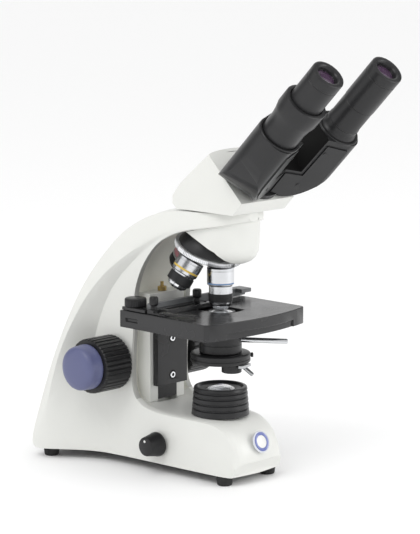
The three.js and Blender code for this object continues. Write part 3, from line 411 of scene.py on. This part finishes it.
def drill(piece, cutters, smooth):
    """Cuts the cutters' shapes out of a piece and keeps the result as its mesh."""
    holes = []
    for cutter in cutters:
        mesh = bpy.data.meshes.new("hole")
        cutter.to_mesh(mesh)
        cutter.free()
        hole = bpy.data.objects.new("hole", mesh)
        scene.collection.objects.link(hole)
        holes.append(hole)
        cut = piece.modifiers.new("cut", "BOOLEAN")
        cut.object = hole
        cut.operation = "DIFFERENCE"
        cut.solver = "EXACT"
    evaluated = piece.evaluated_get(bpy.context.evaluated_depsgraph_get())
    piece.data = bpy.data.meshes.new_from_object(evaluated)
    piece.modifiers.clear()
    for hole in holes:
        bpy.data.objects.remove(hole)
    piece.data.shade_smooth()
    piece.data.set_sharp_from_angle(angle=math.radians(smooth))


drill(casting, [moved(cutter, STAND) for cutter in cutters], 32)


# ---- Nosepiece housing: the bowl under the front of the arm ----
# Cast with the arm and painted with it. A half round bowl, rounded under, whose underside is cut
# on a slant for the turret, leaving a lip in front.
BOWL_CENTRE = -8
BOWL_SIDE = 30
BOWL_STEPS = 32
BOWL = [(180.6, 12), (181.4, 16.5), (183.2, 20.5), (186, 23.4), (190, 25.4), (195, 26.4), (204, 26.7),
        (218, 26.7)]
bm = bmesh.new()
bowl_rings = []
for z, radius in BOWL:
    turns = [math.pi * k / BOWL_STEPS for k in range(BOWL_STEPS + 1)]
    arc = [(radius * math.cos(a), BOWL_CENTRE - radius * math.sin(a)) for a in turns]
    outline = [(radius, BOWL_SIDE), *arc, (-radius, BOWL_SIDE)]
    points = [bm.verts.new((x, y, z)) for x, y in outline]
    bowl_rings.append([bm.edges.new(pair) for pair in zip(points, points[1:] + points[:1])])
for before, after in zip(bowl_rings, bowl_rings[1:]):
    bmesh.ops.bridge_loops(bm, edges=before + after)
bmesh.ops.holes_fill(bm, edges=bowl_rings[0] + bowl_rings[-1])
bmesh.ops.recalc_face_normals(bm, faces=bm.faces)
UNDER_ARM = Vector((0, 0.215, 1)).normalized()
bmesh.ops.bisect_plane(bm, geom=bm.verts[:] + bm.edges[:] + bm.faces[:], plane_co=(0, 0, 209.8),
                       plane_no=UNDER_ARM, clear_outer=True)
bmesh.ops.holes_fill(bm, edges=[e for e in bm.edges if e.is_boundary])
bowl = to_piece("nosepiece_bowl", bm, STAND, "stand", [white_enamel], ["nosepiece_housing"],
                bevel=0, smooth=40)


def face_z(y):
    """The height of the slanted underside."""
    return 200.1 + 0.474 * y


def prism(outline, x0, x1):
    """An outline of (y, z) points run across from x0 to x1."""
    bm = bmesh.new()
    face = bm.faces.new([bm.verts.new((x0, y, z)) for y, z in outline])
    grown = bmesh.ops.extrude_face_region(bm, geom=[face])["geom"]
    side = [g for g in grown if isinstance(g, bmesh.types.BMVert)]
    bmesh.ops.translate(bm, verts=side, vec=(x1 - x0, 0, 0))
    bmesh.ops.recalc_face_normals(bm, faces=bm.faces)
    return bm


slant = prism([(-24, 170), (-24, 183.4), (-20.5, 187.6), (-16, face_z(-16)), (40, face_z(40)), (40, 170)],
              -40, 40)
bores = [turned([(0, 170), (8.5, 170), (8.5, 230), (0, 230)], 48),
         turned([(0, 205), (DOVETAIL_BORE, 205), (DOVETAIL_BORE, 230), (0, 230)])]
drill(bowl, [moved(cutter, STAND) for cutter in [slant, *bores]], 40)


# ---- Guide, carriage, stage, head and rear fittings ----
# Cast and milled parts, painted. Their edges are rounded as paint and a file leave them.
black_enamel = finish("black_enamel", (0.020, 0.020, 0.021), 0.2, (0.28, 0.40), 1400, 0.2, shine=0.35)
stage_enamel = finish("stage_enamel", (0.022, 0.022, 0.023), 0.25, (0.20, 0.30), 1800, 0.15, shine=0.4)
grey_paint = finish("grey_paint", (0.13, 0.135, 0.14), 0.08, (0.35, 0.5), 1500, 0.2)
moulded_black = finish("moulded_black", (0.030, 0.030, 0.032), 0.2, (0.4, 0.6), 2200, 0.25)
board_green = finish("board_green", (0.03, 0.14, 0.06), 0.2, (0.4, 0.6), 1200, 0.3)
turned_steel = finish("turned_steel", (0.50, 0.51, 0.52), 0.05, (0.25, 0.4), 3000, 0.1, metallic=1.0)


def dressed(name, body, material, bevel=0.4, smooth=30):
    """A merged copy of a CAD node with rounded edges, which stands for it."""
    bm = bmesh.new()
    bm.from_mesh(node[name].data)
    bmesh.ops.remove_doubles(bm, verts=bm.verts, dist=2e-6)
    bmesh.ops.dissolve_limit(bm, angle_limit=math.radians(1), verts=bm.verts, edges=bm.edges)
    for face in bm.faces:
        face.material_index = 0
    return to_piece(name + "_skin", bm, Matrix.Identity(4), body, [material], [name], bevel, smooth)


dressed("guide_block", "stand", white_enamel, 0.5)
dressed("nosepiece_base", "stand", black_enamel, 0.2)
dressed("head_housing", "head", white_enamel, 0.8, 25)
dressed("carriage_plate", "carriage", stage_enamel, 0.4)
dressed("carriage_slide", "carriage", black_enamel, 0.15)
dressed("stage_bracket", "carriage", black_enamel, 0.4)
dressed("stage_plate", "carriage", stage_enamel, 0.7)
dressed("cross_slide_base", "cross_slide", stage_enamel, 0.3)
dressed("cross_slide_rail", "cross_slide", grey_paint, 0.4)
dressed("slide_holder", "holder", stage_enamel, 0.25)
dressed("slide_finger", "finger", stage_enamel, 0.2)
dressed("iris_lever", "iris", turned_steel, 0.15)
dressed("power_rocker", "rocker", moulded_black, 0.3)
dressed("dc_inlet", "stand", moulded_black, 0.2)
dressed("base_plate", "stand", black_enamel, 0.2)


def glass(name, colour, roughness):
    """Clear coated glass with a faint haze of fine dust."""
    material = finish(name, colour, 0.06, roughness, 800, 0.02, 0.0, 60, 1.0)
    shader = material.node_tree.nodes["Principled BSDF"]
    shader.inputs["Transmission Weight"].default_value = 0.75
    shader.inputs["IOR"].default_value = 1.5
    return material


clear_glass = glass("clear_glass", (0.86, 0.88, 0.90), (0.04, 0.10))
for name, material in [("lamp_board", board_green), ("dimmer_potentiometer", moulded_black),
                       ("beamsplitter_prism", clear_glass), ("head_dovetail", turned_steel),
                       ("coarse_pinion_shaft", turned_steel), ("fine_shaft", turned_steel),
                       ("fold_hub", black_enamel)]:
    node[name].data.materials.clear()
    node[name].data.materials.append(material)


# ---- Folding tubes: the two cast housings and their covers ----
# Thin castings in black enamel. The far side of each bulges lower than the flat side with the
# cover, and a rolled lip closes the top. The walls that face each other have a darker black, which
# stands in for the shade between the tubes.
shadow_black = finish("shadow_black", (0.006, 0.006, 0.006), 0.2, (0.6, 0.8), 1400, 0.2, shine=0.1)
HEAD = STAND @ Matrix.Rotation(math.radians(45), 4, "X")
FOLD_AXIS = 153.8
FOLD_RADIUS = 37.5
FOLD_REST = math.radians(20.6)


def fold(side):
    """The axes of a folding tube's housing, 1 for the right one and -1 for the left one."""
    return HEAD @ Matrix.Translation((0, FOLD_AXIS, 0)) @ Matrix.Rotation(-side * FOLD_REST, 4, "Z")


def tube(side):
    return fold(side) @ Matrix.Translation((side * FOLD_RADIUS, 0, 0))


LIP = [(15.9, 276.6), (18.3, 276.6), (18.4, 277.6), (18.0, 278.3), (16.7, 278.3), (15.9, 277.7)]
for label, side in [("right", 1), ("left", -1)]:
    name = f"{label}_tube_housing"
    into_fold = fold(side).inverted()
    bm = bmesh.new()
    bm.from_mesh(node[name].data)
    bmesh.ops.remove_doubles(bm, verts=bm.verts, dist=2e-6)
    moved(bm, into_fold)
    # The bulge hangs down by up to 11.5 mm, more the further out and the deeper it lies.
    for vert in bm.verts:
        out, depth, up = vert.co.x * side, vert.co.y, vert.co.z
        if out > 22 and up < 245 and depth > -16.5:
            share = min(1, (depth + 17) / 14)
            vert.co.z = up - min(11.5, 0.42 * (out - 22)) * share
    bmesh.ops.dissolve_limit(bm, angle_limit=math.radians(1), verts=bm.verts, edges=bm.edges)
    for face in bm.faces:
        middle = face.calc_center_median()
        facing_in = face.normal.x * side < -0.7 or face.normal.z > 0.9
        if facing_in and middle.x * side < 24 and 230 < middle.z < 276.5:
            face.material_index = 1
    to_piece(f"{label}_tube_casting", bm, fold(side), f"{label}_tube",
             [black_enamel, shadow_black], [name], bevel=0.9, smooth=25)
    to_piece(f"{label}_tube_lip", turned(LIP, closed=True), tube(side), f"{label}_tube",
             [black_enamel], bevel=0)
    cover = dressed(f"{label}_tube_cover", f"{label}_tube", black_enamel, 0.2)
    cover.data.transform(fold(side) @ Matrix.Translation((0, 0.27, 0)) @ into_fold)


# ---- Rubber feet ----
# Moulded rubber buttons screwed under the base, a little wider at the top.
foot_rubber = finish("foot_rubber", (0.018, 0.018, 0.018), 0.25, (0.75, 0.9), 2500, 0.3)
for end, x, y in [("front", 26, -29.5), ("rear", 57.6, 148)]:
    for side, sign in [("left", -1), ("right", 1)]:
        foot = turned([(0, 0), (5.2, 0), (6.0, 0.5), (6.3, 1.2), (7.2, 6.9), (6.9, 7.7), (0, 7.7)], 48)
        name = f"foot_{end}_{side}"
        to_piece(name + "_rubber", foot, STAND @ Matrix.Translation((sign * x, y, 0)), "stand",
                 [foot_rubber], [name], bevel=0)


# ---- Lamp collector on the base: ringed housing with a domed lens ----
# A black turned housing with cooling grooves, a shallow bowl and the condensing lens in it.
def grooved_side(z):
    return 24.4 - 2 * (z - DECK) / (75.3 - DECK)


grooved = [(12.5, DECK + 0.3), (24.4, DECK + 0.3)]
for z in (57.2, 62.2, 67.2, 71.6):
    side = grooved_side(z)
    grooved += [(side, z - 1.0), (side - 0.5, z - 0.75), (side - 1.3, z - 0.4)]
    grooved += [(side - 1.3, z + 0.4), (side - 0.5, z + 0.75), (side, z + 1.0)]
grooved += [(22.4, 74.1), (22.0, 74.9), (21.2, 75.3), (19.4, 75.3), (18.8, 74.8), (17.4, 73.4),
            (12.5, 72.8)]
to_piece("collector_shell", turned(grooved, closed=True), STAND, "stand",
         [black_enamel], ["collector_housing"], bevel=0.15)
lens = turned([(0, 68), (12.2, 68), (12.2, 73.1), (10.4, 74.05), (8.5, 74.8), (6.2, 75.4), (4, 75.75),
               (2, 75.95), (0, 76)])
to_piece("collector_glass", lens, STAND, "stand", [clear_glass], ["collector_lens"],
         bevel=0)


# ---- Front badge: a plain round button on the nose of the base ----
# A glossy blue ring round a plain white button, in a thin silver rim.
badge_silver = finish("badge_silver", (0.72, 0.74, 0.80), 0.03, (0.15, 0.22), 1500, 0.03, metallic=0.3)
badge_blue = finish("badge_blue", (0.10, 0.13, 0.36), 0.05, (0.12, 0.2), 1500, 0.03, coat=0.6)
band_white = finish("band_white", (0.75, 0.75, 0.73), 0.03, (0.25, 0.35), 1500, 0.05)
BADGE_LEAN = 0.36
badge_turn = Matrix.Rotation(math.radians(90) - BADGE_LEAN, 4, "X")
BADGE_PLACE = STAND @ Matrix.Translation((0, -45.9, 34.6)) @ badge_turn
badge = turned([(0, 0), (9.2, 0), (9.2, 0.9), (8.8, 1.3), (8.4, 1.4), (8.1, 1.2), (5.4, 1.2), (5.0, 1.45),
                (0, 1.5)], 64)
for face in badge.faces:
    middle = face.calc_center_median()
    reach = math.hypot(middle.x, middle.y)
    if middle.z > 1.1 and reach < 8.2:
        face.material_index = 1 if reach > 5.3 else 2
to_piece("badge_button", badge, BADGE_PLACE, "stand", [badge_silver, badge_blue, band_white],
         ["front_badge"], bevel=0)


# ---- Brightness knob on the left of the base ----
# A smooth tapered knob of moulded plastic, with a white dot for a pointer.
knob_plastic = finish("knob_plastic", (0.014, 0.014, 0.015), 0.2, (0.30, 0.42), 2600, 0.3, shine=0.35)
knob_seat = Matrix.Translation((-38.6, BRIGHTNESS_Y, BRIGHTNESS_Z))
KNOB_PLACE = STAND @ knob_seat @ Matrix.Rotation(math.radians(-90), 4, "Y")
knob = turned([(0, 0), (10.2, 0), (10.4, 0.5), (10.4, 2.3), (10.0, 2.9), (8.2, 13.3), (7.9, 14.4),
               (6.9, 15), (0, 15)], 72)
to_piece("brightness_grip", knob, KNOB_PLACE, "brightness", [knob_plastic],
         ["brightness_knob"], bevel=0.2)
dot = turned([(0, 15), (1.1, 15), (1.1, 15.25), (0.7, 15.4), (0, 15.4)], 24)
to_piece("brightness_dot", moved(dot, Matrix.Translation((4.6, 0.3, 0))), KNOB_PLACE, "brightness",
         [band_white], bevel=0)


# ---- Focus knobs ----
# Coarse: a ribbed black ring pressed on the tube shaft. Fine: a smooth blue cap on the inner shaft.
blue_plastic = finish("blue_plastic", (0.095, 0.105, 0.21), 0.05, (0.30, 0.40), 2200, 0.15)


def ribbed(count, radius, depth, heights, land=0.6):
    """A ribbed cylinder: each of heights is (z, scale), joined by extruding one ribbed disc."""
    bm = bmesh.new()
    steps = 6
    bmesh.ops.create_circle(bm, cap_ends=True, radius=radius, segments=count * steps)
    for vert in bm.verts:
        turn = math.atan2(vert.co.y, vert.co.x) / math.tau * count
        share = turn - math.floor(turn)
        fall = 0 if share < land else math.sin(math.pi * (share - land) / (1 - land))
        vert.co *= (radius - depth * fall) / radius
    z, scale = heights[0]
    first = Matrix.Translation((0, 0, z)) @ Matrix.Diagonal((scale, scale, 1, 1))
    bmesh.ops.transform(bm, verts=bm.verts, matrix=first)
    faces = list(bm.faces)
    for next_z, next_scale in heights[1:]:
        grown = bmesh.ops.extrude_face_region(bm, geom=faces)["geom"]
        verts = [g for g in grown if isinstance(g, bmesh.types.BMVert)]
        top = [g for g in grown if isinstance(g, bmesh.types.BMFace)]
        ratio = next_scale / scale
        bmesh.ops.transform(bm, verts=verts, matrix=Matrix.Diagonal((ratio, ratio, 1, 1)))
        bmesh.ops.translate(bm, verts=verts, vec=(0, 0, next_z - z))
        faces, z, scale = top, next_z, next_scale
    bmesh.ops.recalc_face_normals(bm, faces=bm.faces)
    return bm


coarse_place = Matrix.Translation((0, FOCUS_Y, FOCUS_Z))
GRIP_ENDS = [(37.6, 0.95), (38.1, 0.985), (39, 1), (64.6, 1), (66.2, 0.985), (67, 0.95)]
for label, side in [("left", -1), ("right", 1)]:
    place = STAND @ coarse_place @ Matrix.Rotation(math.radians(90 * side), 4, "Y")
    grip = ribbed(36, 23.4, 0.9, GRIP_ENDS, 0.6)
    to_piece(f"coarse_grip_{label}", grip, place, "coarse", [knob_plastic],
             [f"coarse_knob_{label}"], bevel=0)
    cap = turned([(0, 67.3), (18.6, 67.3), (19.2, 67.9), (19.3, 68.8), (19.3, 70.4), (18.9, 71.2),
                  (18.9, 76.8), (18.6, 78.8), (17.7, 80.6), (15.9, 81.9), (12.6, 82.8), (6.5, 83.2),
                  (0, 83.3)])
    to_piece(f"fine_cap_{label}", cap, place, "fine", [blue_plastic],
             [f"fine_knob_{label}"], bevel=0)


# ---- Turret: black cone, knurled chrome rim, and the objectives ----
# Turned aluminium cone with a sprung grip ring; each objective is turned brass, chromed, with a
# coloured ring for its power, a black grip and a sprung front mount.
polished_chrome = finish("polished_chrome", (0.80, 0.81, 0.83), 0.02, (0.07, 0.14), 3000, 0.03,
                         metallic=1.0)
satin_chrome = finish("satin_chrome", (0.66, 0.67, 0.69), 0.04, (0.16, 0.26), 3000, 0.08, metallic=1.0)
band_yellow = finish("band_yellow", (0.60, 0.42, 0.08), 0.05, (0.25, 0.35), 1500, 0.05)
band_blue = finish("band_blue", (0.13, 0.24, 0.45), 0.05, (0.25, 0.35), 1500, 0.05)
band_red = finish("band_red", (0.45, 0.20, 0.22), 0.05, (0.25, 0.35), 1500, 0.05)
coated_lens = glass("coated_lens", (0.20, 0.10, 0.22), (0.02, 0.05))
TURRET_TILT = math.radians(22)
TURRET = Matrix.Translation(joint["turret_turn"]["pos_m"]) @ Matrix.Rotation(TURRET_TILT, 4, "X")
TURRET = TURRET @ Matrix.Scale(MM, 4)
cone = turned([(0, -22.5), (20, -22.5), (20.6, -23), (26.2, -32.6), (26.4, -33.4), (26.4, -39.1),
               (6, -47.4), (0, -48)])
to_piece("turret_body", cone, TURRET, "turret", [black_enamel], ["turret_cone"], bevel=0.2)
rim = ribbed(110, 29.4, 0.45, [(-38.2, 0.975), (-37.6, 1), (-34.2, 1), (-33.5, 0.965)], 0.5)
to_piece("turret_grip_ring", rim, TURRET, "turret", [polished_chrome], ["turret_rim"], bevel=0)

SHOULDER = 46.7
# The barrels are satin but for these: coloured band, black grip, bright metal and lens.
BAND, GRIP, BRIGHT, LENS = range(1, 5)
HIGH_POWER = [
    (0, SHOULDER), (10.9, SHOULDER), (11.4, 47.2), (11.4, 48.6), (11.1, 48.8), (11.1, 49.4), (11.4, 49.6),
    (11.4, 59.2), (11.2, 59.4), (11.2, 60.3), (11.4, 60.5), (11.3, 61.2), (10.3, 61.7), (9.8, 62.3),
    (9.8, 68.4), (10.2, 68.7), (10.2, 71.6), (10.0, 71.8), (10.0, 72.2), (10.2, 72.4), (10.2, 75.2),
    (9.6, 75.7), (9.5, 77.2), (8.9, 78.4), (6.2, 81.2), (5.6, 81.8), (4.9, 82.1), (2.6, 82.1), (2.3, 81.6),
    (0, 81.6)]
HIGH_BANDS = [(59.3, 60.4, BAND), (68.4, 75.3, GRIP), (75.6, 82.1, BRIGHT)]
MID_POWER = [
    (0, SHOULDER), (10.9, SHOULDER), (11.4, 47.2), (11.4, 48.6), (11.1, 48.8), (11.1, 49.4), (11.4, 49.6),
    (11.4, 55.2), (11.2, 55.4), (11.2, 56.7), (11.4, 56.9), (11.3, 59.2), (10.2, 60.0), (10.0, 61.2),
    (10.7, 61.8), (10.7, 68.6), (9.6, 69.2), (8.8, 69.8), (8.6, 71.6), (7.4, 72.8), (6.4, 73.3),
    (6.1, 73.7), (4.6, 73.7), (4.3, 73.1), (0, 73.1)]
MID_BANDS = [(55.3, 56.8, BAND), (61.3, 69.0, GRIP), (69.0, 73.7, BRIGHT)]
LOW_POWER = [
    (0, SHOULDER), (10.9, SHOULDER), (11.4, 47.2), (11.4, 53.2), (11.2, 53.4), (11.2, 57.6), (11.4, 57.8),
    (11.3, 60.2), (10.4, 60.8), (11.0, 61.4), (11.0, 67), (10.4, 67.6), (9.0, 70.2), (8.6, 70.6),
    (6.4, 70.6), (6, 70), (0, 70)]
LOW_BANDS = [(53.3, 57.7, BAND), (60.7, 70.7, GRIP)]
OBJECTIVES = [
    ("objective_40x", 0, HIGH_POWER, HIGH_BANDS, band_blue),
    ("objective_10x", 1, MID_POWER, MID_BANDS, band_yellow),
    ("objective_4x", 2, LOW_POWER, LOW_BANDS, band_red),
    ("objective_100x", 3, HIGH_POWER, HIGH_BANDS, band_white)]


def paint_bands(bm, bands):
    """Gives the faces whose middles lie between two heights a material's number."""
    for face in bm.faces:
        height = face.calc_center_median().z
        for low, high, number in bands:
            if low <= height <= high:
                face.material_index = number


for name, seat, profile, bands, colour in OBJECTIVES:
    barrel = turned([(r, -length) for r, length in profile], 80)
    paint_bands(barrel, [(-end, -start, number) for start, end, number in bands])
    tip = -profile[-1][1]
    for face in barrel.faces:
        middle = face.calc_center_median()
        if middle.z < tip + 0.1 and math.hypot(middle.x, middle.y) < profile[-2][0] * 0.9:
            face.material_index = LENS
    place = TURRET @ Matrix.Rotation(-seat * math.pi / 2, 4, "Z") @ Matrix.Rotation(-TURRET_TILT, 4, "X")
    to_piece(name + "_barrel", barrel, place, "turret",
             [satin_chrome, colour, knob_plastic, polished_chrome, coated_lens], [name], bevel=0)


# ---- Eyepieces, dioptre ring and fixed sleeve ----
# Black anodised tubes. The left one turns in a flared dioptre ring with a smooth collar.
sleeve = turned([(12, 277.3), (15.6, 277.3), (15.8, 277.8), (15.6, 278.6), (14.8, 279.6), (14.2, 280.6),
                 (14.1, 281.5), (14.1, 285.8), (13.8, 286.0), (13.8, 286.4), (14.0, 286.6), (14.0, 287),
                 (13.6, 287.6), (13.6, 308.3), (13.3, 308.7), (12, 308.7)], closed=True)
to_piece("right_sleeve", sleeve, tube(1), "right_tube", [black_enamel],
         ["right_eyepiece_sleeve"], bevel=0)
collar = turned([(12, 277.3), (15.0, 277.3), (15.6, 278), (15.6, 289.5), (15.8, 292.5), (16.4, 296.5),
                 (17.2, 300.3), (17.9, 303), (17.9, 315.4), (17.6, 316.2), (17.0, 316.6), (14.8, 316.6),
                 (14.3, 316.1), (14.3, 305.7), (12, 305.7)], closed=True)
to_piece("diopter_collar", collar, tube(-1), "diopter", [black_enamel], ["diopter_ring"],
         bevel=0)
for label, side, bottom, body in [("right", 1, 309, "right_ocular"), ("left", -1, 306, "left_ocular")]:
    top = 347.8
    shell = turned([(9.6, bottom - 28), (11.6, bottom - 28), (11.6, bottom), (13.9, bottom),
                    (13.9, top - 9), (13.65, top - 8.7), (13.65, top - 8.1), (13.9, top - 7.8),
                    (13.9, top - 1.2), (13.6, top - 0.4), (12.9, top),
                    (10.2, top), (9.4, top - 0.5), (8.2, top - 2.4), (8.2, top - 9), (9.6, top - 10)],
                   closed=True)
    to_piece(f"{label}_eyepiece_shell", shell, tube(side), body, [black_enamel],
             [f"{label}_eyepiece"], bevel=0)
    eye = turned([(0, top - 6.7), (7.8, top - 6.7), (7.8, top - 4.4), (6, top - 3.8), (4, top - 3.45),
                  (2, top - 3.25), (0, top - 3.2)], 64)
    to_piece(f"{label}_eye_glass", eye, tube(side), body, [coated_lens],
             [f"{label}_eye_lens"], bevel=0)


# ---- Condenser: body with the iris housing, the lifting ring and its lever ----
# Turned black parts under the stage; a chrome rod turns the ring to lift the condenser.
body_profile = [
    (0, 96), (23.4, 96), (24.6, 96.3), (25.1, 97), (25.1, 98.9), (24.5, 99.2), (24.5, 100.4), (25.1, 100.7),
    (25.1, 103), (24.6, 103.7), (23.6, 104), (15, 104), (15, 133.4), (12.4, 135.4), (12.4, 138.4),
    (12.1, 138.8), (10.6, 138.8), (10.6, 137.4), (0, 137.4)]
to_piece("condenser_shell", turned(body_profile), STAND, "condenser", [black_enamel],
         ["condenser_body"], bevel=0)
boss = turned([(0, 88.6), (7.9, 88.6), (8.4, 89.1), (8.4, 95.9), (0, 95.9)], 64)
to_piece("condenser_boss", moved(boss, Matrix.Translation((0, -12.7, 0))), STAND, "condenser",
         [black_enamel], bevel=0)
top_lens = turned([(0, 137.7), (10.3, 137.7), (10.3, 138.6), (8.5, 139.1), (6, 139.5), (3, 139.74),
                   (0, 139.8)], 64)
to_piece("condenser_glass", top_lens, STAND, "condenser", [clear_glass],
         ["condenser_lens"], bevel=0)
lift = turned([(15.3, 104.4), (17.4, 104.4), (17.8, 104.8), (17.8, 111), (17.5, 111.3), (17.5, 112),
               (17.8, 112.3), (17.8, 119.1), (17.4, 119.5), (15.3, 119.5)], closed=True)
to_piece("condenser_lift_ring", lift, STAND, "condenser_lift", [black_enamel],
         ["condenser_ring"], bevel=0)
LEVER = Vector((0.54, -0.84, 0))
lever = turned([(0, 16.9), (2.2, 16.9), (2.2, 55.8), (1.8, 56.7), (1.0, 57), (0, 57)], 40)
aim = LEVER.to_track_quat("Z", "Y").to_matrix().to_4x4()
to_piece("condenser_lever_rod", moved(lever, Matrix.Translation((0, 0, 115)) @ aim), STAND,
         "condenser_lift", [satin_chrome], bevel=0)


# ---- Socket screws in the carriage plate, and the set screw of the condenser ----
# Two bright cheese-head screws with a round socket, and a small black screw in the condenser's side.
SCREW_HEAD = [(0, 0), (2.9, 0), (2.9, 1.9), (2.6, 2.25), (1.5, 2.25), (1.5, 1.0), (0, 1.0)]
for number, z in enumerate([108, 76]):
    place = STAND @ Matrix.Translation((0, 58.1, z)) @ Matrix.Rotation(math.radians(90), 4, "X")
    to_piece(f"carriage_screw_{number}", turned(SCREW_HEAD, 32), place, "carriage",
             [polished_chrome], bevel=0)
SET_SCREW = Vector((0.85, -0.52, 0))
aim = SET_SCREW.to_track_quat("Z", "Y").to_matrix().to_4x4()
set_screw = turned([(0, 24), (1.2, 24), (1.2, 26), (2, 26.4), (2, 28), (0, 28.2)], 24)
moved(set_screw, Matrix.Translation((0, 0, 100)) @ aim)
to_piece("condenser_set_screw", set_screw, STAND, "condenser", [black_enamel], bevel=0)


# ---- Small screws and knobs: slide drive, thumb screws, stop screw and head lock ----
# Knurled and turned parts, each on its own thread.
turned_brass = finish("turned_brass", (0.58, 0.42, 0.17), 0.08, (0.22, 0.35), 2500, 0.1, metallic=1.0)
drive = ribbed(40, 9.2, 0.35, [(143.2, 0.96), (143.8, 1), (148.8, 1), (149.8, 0.96), (150.2, 0.88)], 0.5)
to_piece("drive_knob_grip", drive, STAND @ Matrix.Translation((-50, 50, 0)), "drive_knob",
         [knob_plastic], ["slide_drive_knob"], bevel=0)
for label, x, body in [("left", -53, "left_thumb"), ("right", -2, "right_thumb")]:
    screw = turned([(0, 142.3), (1.4, 142.3), (1.4, 144.1), (2.6, 144.1), (2.4, 145.6), (2.2, 146.6),
                    (3.2, 147.4), (3.7, 148.1), (3.8, 149.4), (3.8, 152.8), (3.5, 153.9), (2.9, 154.5),
                    (0, 154.7)], 40)
    to_piece(f"{label}_thumb_head", screw, STAND @ Matrix.Translation((x, 25.4, 0)), body,
             [knob_plastic], [f"thumb_screw_{label}"], bevel=0)
stop = turned([(0, 141), (1.5, 141), (1.5, 147.8), (3.9, 147.8), (3.9, 151.2), (3.6, 151.4), (1.5, 151.4),
               (1.5, 155.2), (1.2, 155.5), (0, 155.5)], 40)
to_piece("stop_screw_brass", stop, STAND @ Matrix.Translation((0, 69, 0)), "stop_screw",
         [turned_brass], ["stage_stop_screw"], bevel=0.1)
lock = turned([(0, 0), (1.8, 0), (1.8, 11.6), (3.4, 11.6), (3.8, 12.2), (3.8, 16.4), (3.2, 17.4),
               (0, 17.4)], 40)
LOCK_PLACE = STAND @ Matrix.Translation((20.6, 0, LOCK_SCREW_Z)) @ Matrix.Rotation(math.radians(90), 4, "Y")
to_piece("head_lock_knob", lock, LOCK_PLACE, "lock_screw", [satin_chrome], ["head_lock_screw"],
         bevel=0.15)
